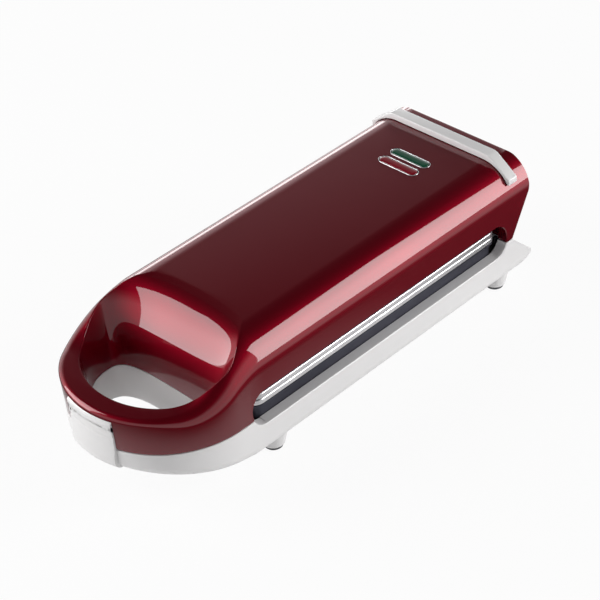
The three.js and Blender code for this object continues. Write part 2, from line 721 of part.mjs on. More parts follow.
// Heating elements: a sheathed tube bent into a U behind each plate
function element(side) {
  const z = seam + plateSeam + side * (bodyBack + gap + elementRadius);
  const path = new THREE.CurvePath();
  const left = new THREE.Vector3(-elementHalf, elementTurn, z);
  const right = new THREE.Vector3(elementHalf, elementTurn, z);
  class Bend extends THREE.Curve {
    getPoint(t) {
      const a = Math.PI * (1 + t);
      return new THREE.Vector3(elementHalf * Math.cos(a), elementTurn + elementHalf * Math.sin(a), z);
    }
  }
  path.add(new THREE.LineCurve3(new THREE.Vector3(-elementHalf, elementBack, z), left));
  path.add(new Bend());
  path.add(new THREE.LineCurve3(right, new THREE.Vector3(elementHalf, elementBack, z)));
  return tube(path, elementRadius, 22, 4);
}
addPiece('lower_element', element(-1), heater);
addPiece('upper_element', element(1), heater);

for (const [name, side] of [['lower_thermostat', -1], ['upper_thermostat', 1]]) {
  const from = bodyBack + gap;
  addPiece(name, post(thermostatRadius, thermostatRadius, thermostatX, thermostatY,
    ...span(side, from, from + thermostatHeight), 18), ceramic);
}
const lowerPanFloor = plateSeam - rimBack - gap - panDepth + panWall;
addPiece('thermal_fuse', rodAlongX(fuseRadius, -fuseLength / 2, fuseLength / 2, fuseY,
  lowerPanFloor + gap + fuseRadius, 14), ceramic);

// Plate screws. The lower ones rise from the base, the upper ones are sunk in the plate's face.
function screw(x, y, headZ, length) {
  const head = post(headRadius, headRadius, x, y, headZ - headHeight, headZ, 14);
  return head.add(post(screwRadius, screwRadius, x, y, headZ - 0.5, headZ + length, 8));
}
const baseSeat = -panDepth + plateSeam - rimThick - panWall - gap - bossWeb;
const upperSeat = plateSeam + plateHalfGap + headHeight + gap;
const upperTip = lidHeight - boreStop - gap;
for (const spot of screwSpots) {
  const reach = plateSeam - plateHalfGap - 3 - gap - (baseSeat - gap);
  addPiece(`lower_screw_${spot.name}`, screw(spot.x, spot.y, baseSeat - gap, reach), steel);
  const upperReach = upperTip - upperSeat;
  addPiece(`upper_screw_${spot.name}`, screw(spot.x, spot.y, upperSeat, upperReach), steel);
}

// Hinge pins, one on each side
for (const [name, side] of [['hinge_pin_left', -1], ['hinge_pin_right', 1]]) {
  const outer = knuckleInner + 2 * knuckleWidth + lidKnuckleWidth + 2 * gap;
  const ends = [side * (knuckleInner + 0.4), side * (outer - 0.4)].sort((a, b) => a - b);
  addPiece(name, rodAlongX(hingePinRadius, ...ends, hingeY, -hingeDrop), steel);
}

// Rear bar across the lid, with two screws from inside
const barTop = lidHeight + barProud;
function rearBar() {
  const shape = new THREE.Shape();
  shape.moveTo(-barLegX, barLegZ - 12);
  shape.lineTo(barLegX, barLegZ - 12);
  shape.lineTo(barLegX, barLegZ + 1);
  shape.lineTo(barTopHalf + 1.5, barTop - 0.8);
  shape.lineTo(barTopHalf - 1, barTop);
  shape.lineTo(-barTopHalf + 1, barTop);
  shape.lineTo(-barTopHalf - 1.5, barTop - 0.8);
  shape.lineTo(-barLegX, barLegZ + 1);
  let bar = alongY(shape, barFront, barFront + barThick)
    .subtract(lidBlank(gap, -1))
    .subtract(block(-radius, radius, barFront - 1, barFront + barThick + 1, 0, barLegZ - 3));
  for (const x of [-barScrewX, barScrewX]) {
    bar = bar.subtract(post(holeRadius, holeRadius, x, barFront + barThick / 2, lidHeight, barTop - barRoof));
  }
  return bar;
}
addPiece('rear_bar', rearBar(), white);
for (const [name, x] of [['bar_screw_left', -barScrewX], ['bar_screw_right', barScrewX]]) {
  const length = wall + gap + barProud - barRoof - 0.6;
  addPiece(name, screw(x, barFront + barThick / 2, lidHeight - wall - gap, length), steel);
}

// Indicator lenses, lamps and their holder
function lens(y) {
  const flangeTop = lidHeight - wall - gap;
  const pill = slab(-lensLength / 2, lensLength / 2, y - lensWidth / 2, y + lensWidth / 2, lensWidth,
    flangeTop - lensFlange, lidHeight + lensProud, 4);
  const flange = slab(-lensLength / 2 - 1.5, lensLength / 2 + 1.5, y - lensWidth / 2 - 1.5,
    y + lensWidth / 2 + 1.5, lensWidth, flangeTop - lensFlange, flangeTop, 4);
  return pill.add(flange);
}
addPiece('ready_lens', lens(readyLensY), greenLens);
addPiece('power_lens', lens(powerLensY), redLens);

const lampZ = lidHeight - wall - lampDrop;
const holderTop = lampZ - lampRadius - gap;
function lampHolder() {
  const x = lensLength / 2 + 6;
  const y0 = powerLensY - lensWidth;
  const y1 = readyLensY + lensWidth;
  let holder = slab(-x, x, y0, y1, 3, holderTop - 2, holderTop);
  for (const side of [-1, 1]) {
    const stub = side * (x - 2.5);
    holder = holder.add(post(2.2, 2.2, stub, (y0 + y1) / 2, holderTop - 1, lidHeight - wall - gap, 16));
  }
  return holder;
}
addPiece('lamp_holder', lampHolder(), ceramic);
for (const [name, y] of [['ready_lamp', readyLensY], ['power_lamp', powerLensY]]) {
  addPiece(name, rodAlongX(lampRadius, -lampLength / 2, lampLength / 2, y, lampZ, 14), lampGlass);
}

// Terminal block on the floor behind the lower pan, and the cord gland in the heel of the base
const blockY = plateBack + 1.5;
const blockZ = -baseDepth + wall + gap;
let terminalBlock = block(-blockSize[0] / 2, blockSize[0] / 2, blockY, blockY + blockSize[1], blockZ,
  blockZ + blockSize[2]);
for (const x of [-blockSize[0] / 3, 0, blockSize[0] / 3]) {
  terminalBlock = terminalBlock.subtract(post(1.7, 1.7, x, blockY + blockSize[1] / 2, blockZ + 3,
    blockZ + blockSize[2] + 1, 12));
}
addPiece('terminal_block', terminalBlock, ceramic);

function cordGland() {
  const inner = -3.2 - wall;
  const profile = [
    [glandBore, inner], [glandNeck, inner], [glandNeck, gap], [glandFlange, gap],
    [glandFlange - 0.6, gap + 1.6], [glandBore + 0.8, gap + 2.2], [glandBore, gap + 1.6],
    [glandBore, inner],
  ];
  return alongGland(new THREE.LatheGeometry(profile.map(([r, z]) => new THREE.Vector2(r, z)), 16));
}
addPiece('cord_gland', cordGland(), rubber);

// Foot pads with pegs
for (const spot of footSpots) {
  const profile = [
    [0, 0], [padRadius - 0.6, 0], [padRadius, 0.6], [padRadius, padHeight], [padPeg, padHeight],
    [padPeg, padHeight + padPegHeight], [0, padHeight + padPegHeight],
  ];
  const pad = new THREE.LatheGeometry(profile.map(([r, z]) => new THREE.Vector2(r, z)), 14);
  pad.rotateX(Math.PI / 2);
  pad.translate(spot.x, spot.y, 0);
  addPiece(`foot_pad_${spot.name}`, solidOf(pad), rubber);
}

// The origin goes under the middle of the box
const box = new THREE.Box3().setFromObject(assembly);
assembly.position.y = -(box.min.y + box.max.y) / 2;

export default assembly;
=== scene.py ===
import bpy
import bmesh
import math
from mathutils import Matrix, Vector


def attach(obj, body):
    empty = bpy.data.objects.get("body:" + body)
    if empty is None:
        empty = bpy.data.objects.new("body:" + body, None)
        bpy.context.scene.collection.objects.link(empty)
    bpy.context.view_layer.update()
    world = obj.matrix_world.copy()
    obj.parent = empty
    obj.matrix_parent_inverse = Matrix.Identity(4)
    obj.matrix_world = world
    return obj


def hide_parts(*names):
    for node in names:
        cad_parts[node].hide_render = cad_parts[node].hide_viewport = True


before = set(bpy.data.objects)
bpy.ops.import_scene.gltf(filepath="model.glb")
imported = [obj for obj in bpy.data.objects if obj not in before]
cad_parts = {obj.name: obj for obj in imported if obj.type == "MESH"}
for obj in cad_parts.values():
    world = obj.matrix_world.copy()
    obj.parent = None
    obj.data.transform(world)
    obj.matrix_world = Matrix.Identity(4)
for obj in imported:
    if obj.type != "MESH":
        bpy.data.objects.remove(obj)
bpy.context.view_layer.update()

# Camera at the photograph's viewing angle: in front of the ring, to the right and above. The
# photograph's frame is square, and its horizon is turned a little.
azimuth, elevation, roll = (math.radians(a) for a in (45.685, 36.951, -3.506))
target, distance = Vector((0.001166, 0.010029, 0.042)), 1.2457
SENSOR, PICTURE, FOCAL = 36, 600, 1985.8    # sensor in mm, the other two in pixels
back = Vector((math.sin(azimuth) * math.cos(elevation), -math.cos(azimuth) * math.cos(elevation),
               math.sin(elevation)))
level_right = Vector((0, 0, 1)).cross(back).normalized()
level_up = back.cross(level_right)
camera_right = level_right * math.cos(roll) + level_up * math.sin(roll)
camera_up = level_up * math.cos(roll) - level_right * math.sin(roll)


def add_object(name, data):
    obj = bpy.data.objects.new(name, data)
    bpy.context.scene.collection.objects.link(obj)
    return obj


camera_data = bpy.data.cameras.new("photo_camera")
camera_data.sensor_width = SENSOR
camera_data.lens = SENSOR * FOCAL / PICTURE
camera = add_object("photo_camera", camera_data)
camera.matrix_world = Matrix((camera_right, camera_up, back)).transposed().to_4x4()
camera.matrix_world.translation = target + back * distance
bpy.context.scene.camera = camera


# Lid shell: moulded plastic in a metallic red lacquer under a clear coat. It is one moulding with
# a scooped finger opening, side slots, a recess for the latch and two windows for the lenses.
# Sizes are in mm from the ring's centre and the seam; an object is placed in metres.
RING_Y = -102.2005      # the ring's centre in the CAD frame
SEAM_Z = 42.0           # the parting plane
HALF_WIDTH = 62.0
SHELL_LENGTH = 268.0    # from the ring's centre to the rear face of the lid
BEYOND_FRONT, BEYOND_REAR, BEYOND_SIDE = -130, 300, 80      # clear of the part, for rough shapes
WALL = 2.5
CLEARANCE = 0.3
SEAM_GAP, LIP_ROUND = 0.25, 0.45    # half the gap at the seam, and the round on each shell's lip
SEAM_OVERLAP = 0.4      # how far a cavity runs past the seam
LID_HEIGHT, LID_SHOULDER = 51.0, 23.0
RING_HEIGHT, RING_SHOULDER = 25.5, 3.5
LID_LEAN, RING_BULGE = 0.08, 0.06   # slopes of the side wall: the body leans in, the ring out
SLOPE_FRONT, SLOPE_BACK = -38.0, 22.0   # the ring's top rises to the body's between these
SHOULDER_FRONT = -55.0  # the shoulder grows from here to SLOPE_BACK
OPENING_HALF = (40.0, 59.0)         # the finger opening at the seam and at the lid's full height
OPENING_FRONT, OPENING_MIDDLE = (-46.0, -53.0), (-14.0, 0.0)
OPENING_REAR, OPENING_SCOOP = 0.6, 33.0
OPENING_SQUARE = (3.5, 2.5)         # powers of the curve at its rear: higher is squarer
OPENING_RIM = 0.8
SLOT_FRONT, SLOT_BACK = 10.0, 243.0
SLOT_BOTTOM, SLOT_TOP, SLOT_ROUND = -7.6, 16.0, 11.0
RETURN_XS = ((-59.6, -54.5), (54.5, 59.6))      # the walls behind the slots' ends
SCREW_SPOTS = [(x, y) for y in (22.5, 233.5) for x in (-44.0, 44.0)]
BAR_SCREW_SPOTS = [(x, 252.25) for x in (-25, 25)]
BOSS, SCREW_BORE = 5.4, 1.9         # radii
LID_BOSS_ZS, LID_BORE_ZS, BAR_BORE_ZS = (27.6, 44.5), (6, 39), (45, 60)
HINGE_Y, HINGE_Z = 249.0, -1.0
HINGE_BORE, KNUCKLE, KNUCKLE_ROOM = 2.0, 5.0, 5.6
HINGE_PINS = [(-47, -19), (19, 47)]
LID_KNUCKLES = [(-37.3, -28.3), (28.3, 37.3)]
BASE_KNUCKLES = [(-28, -20), (-45.6, -37.6), (20, 28), (37.6, 45.6)]
LATCH_HALF, LATCH_PIN_Y, LATCH_PIN_Z = 18.5, -57.5, 17.5
LATCH_PIN_BORE = 1.55
LATCH_RISE = 4.0        # the latch's head shows up to this height above its pin
LATCH_YS = (-124, -37.2)    # the latch's room, from outside the ring to inside its tube
LATCH_RECESS = 2.6      # depth of the latch's recess in both shells
LATCH_BLOCK = 24        # half width of the solid part that holds the latch


def smooth_step(t):
    s = min(max(t, 0.0), 1.0)
    return s * s * (3 - 2 * s)


def between(a, b, t):
    return a + (b - a) * t


def arc_points(cy, cz, r, a0, a1, steps):
    angles = [math.radians(a0 + (a1 - a0) * k / steps) for k in range(steps + 1)]
    return [(cy + r * math.cos(a), cz + r * math.sin(a)) for a in angles]


def circle_points(cy, cz, r, sides):
    return arc_points(cy, cz, r, 0, 360 - 360 / sides, sides - 1)


def round_cornered(a0, a1, b0, b1, r, grow=0.0, steps=8):
    """A rectangle with round corners, counter-clockwise. All of it grows by the same step."""
    corners = [(a1 - r, b1 - r, 0), (a0 + r, b1 - r, 90), (a0 + r, b0 + r, 180), (a1 - r, b0 + r, 270)]
    return [p for a, b, turn in corners for p in arc_points(a, b, r + grow, turn, turn + 90, steps)]


def stadium(half_length, half_width, steps=14):
    """A pill outline from above, counter-clockwise, round at both ends."""
    straight = half_length - half_width
    right = [(straight + half_width * math.cos(a), half_width * math.sin(a))
             for a in (math.pi * (k / steps - 0.5) for k in range(steps + 1))]
    return right + [(-x, -y) for x, y in right]


def pill_loops(y, rows, steps=14):
    """Pill outlines round y, from rows of (half length, half width, height)."""
    return [[(px, y + py, z) for px, py in stadium(half_length, half_width, steps)]
            for half_length, half_width, z in rows]


def part_object(points, faces, name="tool"):
    mesh = bpy.data.meshes.new(name)
    placed = [(x / 1000, (y + RING_Y) / 1000, (z + SEAM_Z) / 1000) for x, y, z in points]
    mesh.from_pydata(placed, [], faces)
    mesh.update()
    return add_object(name, mesh)


def stacked(loops, name="tool"):
    """Loops of (x, y, z), each counter-clockwise as seen from the last, closed at both ends."""
    n = len(loops[0])
    points = [p for loop in loops for p in loop]
    faces = [tuple(reversed(range(n))), tuple(range((len(loops) - 1) * n, len(loops) * n))]
    for k in range(len(loops) - 1):
        faces += [(k * n + i, k * n + (i + 1) % n, (k + 1) * n + (i + 1) % n, (k + 1) * n + i)
                  for i in range(n)]
    return part_object(points, faces, name)


def across(view, x0, x1):
    """A side view, drawn counter-clockwise in (y, z), carried across from x0 to x1."""
    return stacked([[(x, y, z) for y, z in view] for x in (x0, x1)])


def box(x0, x1, y0, y1, z0, z1):
    return across([(y0, z0), (y1, z0), (y1, z1), (y0, z1)], x0, x1)


def block(half, y0, y1, z0, z1):
    return box(-half, half, y0, y1, z0, z1)


def rod(r, x0, x1, y, z):
    return across(circle_points(y, z, r, 48), x0, x1)


def turned(rows, x, y, sides=40, name="tool"):
    """A turned shape about an upright axis, from rows of (radius, height), bottom first."""
    turns = [2 * math.pi * k / sides for k in range(sides)]
    loops = [[(x + r * math.cos(a), y + r * math.sin(a), z) for a in turns] for r, z in rows]
    return stacked(loops, name)


def gathered(objects):
    """Joins separate closed tools that don't touch, so that one cut uses them all."""
    mesh = bmesh.new()
    for obj in objects:
        mesh.from_mesh(obj.data)
        bpy.data.objects.remove(obj)
    data = bpy.data.meshes.new("tool")
    mesh.to_mesh(data)
    mesh.free()
    return add_object("tool", data)


def posts(*groups):
    """Upright posts, from groups of (spots, radius, end heights), gathered into one tool."""
    return gathered([turned([(r, z) for z in ends], x, y)
                     for spots, r, ends in groups for x, y in spots])


def keep_result(obj, step):
    """Gives the object the plain mesh that its modifier makes, and takes the modifier off."""
    depsgraph = bpy.context.evaluated_depsgraph_get()
    mesh = bpy.data.meshes.new_from_object(obj.evaluated_get(depsgraph))
    obj.modifiers.remove(step)
    obj.data = mesh


def cut_with(obj, *tools, operation="DIFFERENCE"):
    """Cuts the tools from an object one by one, and uses them up."""
    for tool in tools:
        step = obj.modifiers.new("cut", "BOOLEAN")
        step.operation, step.solver, step.object = operation, "EXACT", tool
        keep_result(obj, step)
        bpy.data.objects.remove(tool)


def join_to(obj, *tools):
    cut_with(obj, *tools, operation="UNION")


def keep_inside(obj, tool):
    cut_with(obj, tool, operation="INTERSECT")


def closed_mesh(points, faces):
    """Merges equal points, drops collapsed faces and returns plain lists."""
    index, kept, renamed = {}, [], []
    for p in points:
        key = tuple(round(c, 4) for c in p)
        if key not in index:
            index[key] = len(kept)
            kept.append(p)
        renamed.append(index[key])
    solid_faces = []
    for face in faces:
        ring = []
        for i in face:
            j = renamed[i]
            if not ring or ring[-1] != j:
                ring.append(j)
        if len(ring) > 1 and ring[0] == ring[-1]:
            ring.pop()
        if len(set(ring)) > 2:
            solid_faces.append(ring)
    return kept, solid_faces


def mirrored_loft(levels, name="tool"):
    """Levels are right halves of loops, from the middle of the front to the rear corner."""
    count, last = len(levels[0]), len(levels) - 1
    points = [p for level in levels for x, y, z in level for p in ((x, y, z), (-x, y, z))]
    faces = []

    def right(k, i):
        return (k * count + i) * 2

    for k in range(last):
        for i in range(count - 1):
            a, b, c, d = right(k, i), right(k, i + 1), right(k + 1, i + 1), right(k + 1, i)
            faces += [(a, b, c, d), (b + 1, a + 1, d + 1, c + 1)]
        a, b = right(k, count - 1), right(k + 1, count - 1)
        faces.append((a, a + 1, b + 1, b))
    for i in range(count - 1):
        a, b = right(0, i), right(0, i + 1)
        c, d = right(last, i), right(last, i + 1)
        faces += [(a + 1, b + 1, b, a), (c, d, d + 1, c + 1)]
    return part_object(*closed_mesh(points, faces), name)


def trimmed_loft(levels, side_view, name="tool"):
    obj = mirrored_loft(levels, name)
    keep_inside(obj, across(side_view, -BEYOND_SIDE, BEYOND_SIDE))
    return obj


def shell_outline(grow, end_y, ring_steps=72):
    """Half of the outline from above: the ring's round front, then one long side. A point has its
    place, its place along the ungrown outline, and the direction outwards."""
    points = []
    for i in range(ring_steps + 1):
        a = i / ring_steps * math.pi / 2
        nx, ny = math.sin(a), -math.cos(a)
        points.append(((HALF_WIDTH + grow) * nx, (HALF_WIDTH + grow) * ny, HALF_WIDTH * ny, nx, ny))
    ys = [1.0 * k for k in range(1, 31)] + [34, 38, 42, 50, 60]
    ys += [60 + (end_y - 60) * k / 24 for k in range(1, 25)]
    points += [(HALF_WIDTH + grow, y, y, 1.0, 0.0) for y in ys]
    return points


def lip_rows(lip):
    """A quarter round at a shell's lip. The lid takes a step as (inset, height), and the base as
    (depth, inset)."""
    if not lip:
        return [(0, 0)]
    turns = [k * math.pi / 8 for k in range(5)]
    return [(lip * (1 - math.sin(a)), lip * (1 - math.cos(a))) for a in turns]


def lid_section(at):
    """The shoulder's radius, the wall's slope and the wall's top, at a place along the outline."""
    rise = smooth_step((at - SLOPE_FRONT) / (SLOPE_BACK - SLOPE_FRONT))
    grown = smooth_step((at - SHOULDER_FRONT) / (SLOPE_BACK - SHOULDER_FRONT))
    corner = between(RING_SHOULDER, LID_SHOULDER, grown)
    return corner, between(-RING_BULGE, LID_LEAN, rise), between(RING_HEIGHT, LID_HEIGHT, rise) - corner


def shell_levels(rows, grow, end_y, place):
    """The half outline once for each row. Place tells a row's inset and height along it."""
    levels = []
    for row in rows:
        level = []
        for x, y, at, nx, ny in shell_outline(grow, end_y):
            inset, z = place(row, at)
            level.append((max(x - nx * inset, 0.0), y - ny * inset, z))
        levels.append(level)
    return levels


def lid_levels(grow, bottom, end_y=BEYOND_REAR, arc_steps=22, lip=0.0):
    def place(row, at):
        corner, lean, wall_top = lid_section(at)
        if isinstance(row, tuple):
            z = bottom + row[1]
            return lean * z + row[0], z
        arc = row / arc_steps * math.pi / 2
        inset = lean * wall_top + (corner + grow) * (1 - math.cos(arc))
        return inset, wall_top + (corner + grow) * math.sin(arc)

    return shell_levels(lip_rows(lip) + list(range(arc_steps + 1)), grow, end_y, place)


def lid_side(inset):
    """The lid from the side: a knee above the hinge, a round rear edge and a flat top."""
    rear, top = SHELL_LENGTH - inset, LID_HEIGHT - inset
    foot = HINGE_Y - 1.4 + CLEARANCE - inset * 1.2
    knee = [(rear - 1 + 0.75 * t + 0.25 * t * t, 27.5 + 2 * t + 2.5 * t * t)
            for t in (0.0, 0.25, 0.5, 0.75, 1.0)]
    rear_edge = knee + arc_points(rear - 2.5, top - 2.5, 2.5, 0, 90, 8)
    ends = [(BEYOND_FRONT, top)] if inset else [(220, top + 0.5), (BEYOND_FRONT, top + 12)]
    return [(BEYOND_FRONT, -20), (foot, -20), (foot, 0)] + rear_edge + ends


def lid_top(x, y):
    """Height of the lid's outer surface over a point, on the round shoulder or the top."""
    def section(at):
        corner, lean, wall_top = lid_section(at)
        return corner, wall_top, HALF_WIDTH - lean * wall_top
    if y >= 0:
        corner, wall_top, edge = section(y)
        inward = edge - abs(x)
    else:
        reach = math.hypot(x, y)
        corner, wall_top, edge = section(HALF_WIDTH * y / max(reach, 1e-6))
        inward = edge - reach
        if inward >= corner:
            at = y
            for _ in range(12):
                corner, wall_top, edge = section(at)
                at = y * HALF_WIDTH / (edge - corner)
            corner, wall_top, edge = section(at)
    if inward >= corner:
        return wall_top + corner
    if inward <= 0:
        return wall_top
    return wall_top + math.sqrt(corner ** 2 - (corner - inward) ** 2)


def opening_point(index, steps, z, grow=0.0):
    """A point of the finger opening's wall at a height. Index runs from the front to the rear."""
    t = min(max((z + grow) / LID_HEIGHT, 0.0), 1.0)
    below = min(max(-z / 17, 0.0), 1.6)
    middle = between(*OPENING_MIDDLE, t)
    half = between(*OPENING_HALF, t ** 1.15) + below + grow
    front = middle - between(*OPENING_FRONT, t) + grow
    scoop = OPENING_SCOOP * (1 - math.sqrt(max(1 - t * t, 0.0)))
    rear = OPENING_REAR + scoop + 2 * below + grow - middle
    square = 2 / between(*OPENING_SQUARE, t)
    if index <= steps:
        a = index / steps * math.pi / 2
        return half * math.sin(a), middle - front * math.cos(a)
    a = (index - steps) / steps * math.pi / 2
    x = 0.0 if index == 2 * steps else half * math.cos(a) ** square
    return x, middle + rear * math.sin(a) ** square


def rim_column(index, steps, below_seam, rim):
    """One column of the opening's wall up to the lid's top, where it rolls over into a round rim."""
    low, high = 0.0, LID_HEIGHT
    for _ in range(40):
        z = (low + high) / 2
        if z < lid_top(*opening_point(index, steps, z)):
            low = z
        else:
            high = z
    turn = max(low - rim, 1.0)
    column = [(*opening_point(index, steps, z), z)
              for z in below_seam + [turn * k / 24 for k in range(1, 25)]]
    rim_point = Vector((*opening_point(index, steps, low), low))
    ahead = opening_point(min(index + 1, 2 * steps), steps, low)
    behind = opening_point(max(index - 1, 0), steps, low)
    along = Vector((ahead[0] - behind[0], ahead[1] - behind[1]))
    if index in (0, 2 * steps):
        along = Vector((-1 if index else 1, 0))
    out = Vector((along.y, -along.x)).normalized()
    reach = Vector((rim_point.x + out.x * rim, rim_point.y + out.y * rim))
    far = Vector((reach.x, reach.y, lid_top(reach.x, reach.y)))
    first = Vector(column[-1])
    for t in (k / 8 for k in range(1, 9)):
        column.append(tuple(first * (1 - t) ** 2 + rim_point * 2 * t * (1 - t) + far * t * t))
    slope = (far - rim_point).normalized()
    lift = math.atan2(slope.z, slope.xy.dot(out)) + math.radians(14)
    side = Vector((out.x, out.y, 0))
    tip = far + (side * math.cos(lift) + Vector((0, 0, 1)) * math.sin(lift)) * 2.5
    return column + [tuple(tip), (tip.x, tip.y, LID_HEIGHT + 14)]


def opening_cutter(grow=0.0, rim=0.0, steps=40):
    """The finger opening as a tool, with a rolled rim at the top or grown by a wall."""
    below_seam = [share * LID_HEIGHT for share in (-1.3, -0.9, -0.6, -0.34, -0.2, -0.1, 0)]
    above_seam = [LID_HEIGHT * k / 30 for k in range(1, 31)] + [LID_HEIGHT + 12]
    columns = [rim_column(i, steps, below_seam, rim) if rim
               else [(*opening_point(i, steps, z, grow), z) for z in below_seam + above_seam]
               for i in range(2 * steps + 1)]
    levels = [[(0.0 if i in (0, 2 * steps) else x, y, z) for i, (x, y, z) in enumerate(level)]
              for level in zip(*columns)]
    return mirrored_loft(levels)


def slot_cutter():
    """The side slot with a small chamfer at the outer face of the wall, on both sides."""
    inner, flared = (round_cornered(SLOT_FRONT, SLOT_BACK, SLOT_BOTTOM, SLOT_TOP, SLOT_ROUND, grow, 10)
                     for grow in (0.0, 1.1))
    tools = []
    for side in (-1, 1):
        loops = [[(side * (HALF_WIDTH - (LID_LEAN * z if z > 0 else 0) + depth), y, z) for y, z in loop]
                 for loop, depth in ((inner, -20), (inner, -0.5), (flared, 0.6), (flared, 12))]
        tools.append(stacked(loops[::side]))
    return gathered(tools)


def slot_returns(upper):
    """Curved walls behind both ends of the side slots, down or up to the seam."""
    y, low_z, high_z = SLOT_FRONT + SLOT_ROUND, SLOT_BOTTOM + SLOT_ROUND, SLOT_TOP - SLOT_ROUND
    seam_z = SEAM_OVERLAP if upper else -SEAM_OVERLAP
    seam_turn = 180 + math.degrees(math.asin((low_z - seam_z) / SLOT_ROUND))

    def bend(radius):
        if upper:
            return (arc_points(y, high_z, radius, 90, 180, 10)
                    + arc_points(y, low_z, radius, 180, seam_turn, 10))
        return arc_points(y, low_z, radius, seam_turn, 270, 10)

    front = bend(SLOT_ROUND + 2.0) + bend(SLOT_ROUND + 0.25)[::-1]
    rear = [(SLOT_FRONT + SLOT_BACK - y, z) for y, z in front[::-1]]
    return gathered([across(view, *ends) for view in (front, rear) for ends in RETURN_XS])


def latch_rod(r, half):
    return rod(r, -half, half, LATCH_PIN_Y, LATCH_PIN_Z)


def head_barrel(grow, half, sides=96, steps=16):
    """The latch's head turns on its pin, and swells so that it shows to one height all along."""
    wall_radius = HALF_WIDTH + RING_BULGE * (LATCH_PIN_Z + LATCH_RISE)
    loops = []
    for k in range(steps + 1):
        x = half * (2 * k / steps - 1)
        r = math.hypot(LATCH_RISE, math.sqrt(wall_radius ** 2 - x ** 2) + LATCH_PIN_Y) + grow
        loops.append([(x, y, z) for y, z in circle_points(LATCH_PIN_Y, LATCH_PIN_Z, r, sides)])
    return stacked(loops)


def add_hinge(shell, own, other, web, more_bores=()):
    """Makes room for the other shell's knuckles, adds the shell's own on webs, and bores them."""
    cut_with(shell, gathered([rod(KNUCKLE_ROOM, a - CLEARANCE, b + CLEARANCE, HINGE_Y, HINGE_Z)
                              for a, b in other]))
    join_to(shell, *(rod(KNUCKLE, *ends, HINGE_Y, HINGE_Z) for ends in own),
            *(box(*ends, *web) for ends in own))
    cut_with(shell, gathered([rod(HINGE_BORE, *ends, HINGE_Y, HINGE_Z) for ends in HINGE_PINS]
                             + list(more_bores)))


def cleaned(obj, distance=0.00002):
    """Removes the tiny edges that cuts leave, and turns all faces outwards."""
    mesh = bmesh.new()
    mesh.from_mesh(obj.data)
    bmesh.ops.remove_doubles(mesh, verts=mesh.verts, dist=distance)
    bmesh.ops.dissolve_degenerate(mesh, edges=mesh.edges, dist=distance / 2)
    bmesh.ops.recalc_face_normals(mesh, faces=mesh.faces)
    mesh.to_mesh(obj.data)
    mesh.free()
    return obj


def smooth_faces(obj, sharp=32.0):
    mesh = obj.data
    mesh.polygons.foreach_set("use_smooth", [True] * len(mesh.polygons))
    mesh.set_sharp_from_angle(angle=math.radians(sharp))


def set_inputs(tree, node, inputs):
    """Sets inputs to values, or links them to outputs. A node stands for its first output."""
    for socket, given in inputs.items():
        for value in (given if isinstance(given, list) else [given]):
            if isinstance(value, bpy.types.Node):
                value = value.outputs[0]
            if isinstance(value, bpy.types.NodeSocket):
                tree.links.new(value, node.inputs[socket])
            else:
                node.inputs[socket].default_value = value


def add_node(tree, kind, inputs=None, **settings):
    node = tree.nodes.new(kind)
    for label, value in settings.items():
        setattr(node, label, value)
    set_inputs(tree, node, inputs or {})
    return node


def math_node(tree, operation, *values):
    return add_node(tree, "ShaderNodeMath", dict(enumerate(values)), operation=operation)


def new_tree(name, kind, inputs, outputs):
    """A node group with named sockets. Gives the group and the outputs of its input node."""
    tree = bpy.data.node_groups.new(name, kind)
    for direction, sockets in (("INPUT", inputs), ("OUTPUT", outputs)):
        for label, socket in sockets.items():
            tree.interface.new_socket(label, in_out=direction, socket_type="NodeSocket" + socket)
    return tree, tree.nodes.new("NodeGroupInput").outputs


def surface(name, colour, roughness, metallic=0.0, more=None):
    """A material with its shader's own values. Its piece lays the shared mottle over it."""
    material = bpy.data.materials.new(name)
    material.use_nodes = True
    tree = material.node_tree
    set_inputs(tree, tree.nodes["Principled BSDF"], {"Base Color": (*colour, 1), "Roughness": roughness,
                                                     "Metallic": metallic, **(more or {})})
    return material


def mottle_group():
    """Slow changes of colour and gloss, with a fine grain for the bump, shared by all materials."""
    tree, given = new_tree(
        "mottle_and_grain", "ShaderNodeTree",
        {"Place": "Vector", "Mottle Scale": "Float", "Grain Scale": "Float", "Colour A": "Color",
         "Colour B": "Color", "Gloss Low": "Float", "Gloss High": "Float"},
        {"Colour": "Color", "Roughness": "Float", "Grain": "Float"})
    slow, fine = (add_node(tree, "ShaderNodeTexNoise",
                           {"Vector": given["Place"], "Scale": given[scale], "Detail": detail})
                  for scale, detail in (("Mottle Scale", 5), ("Grain Scale", 3)))
    spread = add_node(tree, "ShaderNodeMapRange", {"Value": slow, "From Min": 0.35, "From Max": 0.65})
    blend = add_node(tree, "ShaderNodeMix", {"Factor": spread, "A": given["Colour A"],
                                             "B": given["Colour B"]}, data_type="RGBA")
    gloss = add_node(tree, "ShaderNodeMapRange", {
        "Value": slow, "From Min": 0.3, "From Max": 0.7,
        "To Min": given["Gloss Low"], "To Max": given["Gloss High"]})
    add_node(tree, "NodeGroupOutput", {"Colour": blend.outputs["Result"], "Roughness": gloss,
                                       "Grain": fine})
    return tree


MOTTLE = mottle_group()
GRAIN_DEPTH = 0.00002


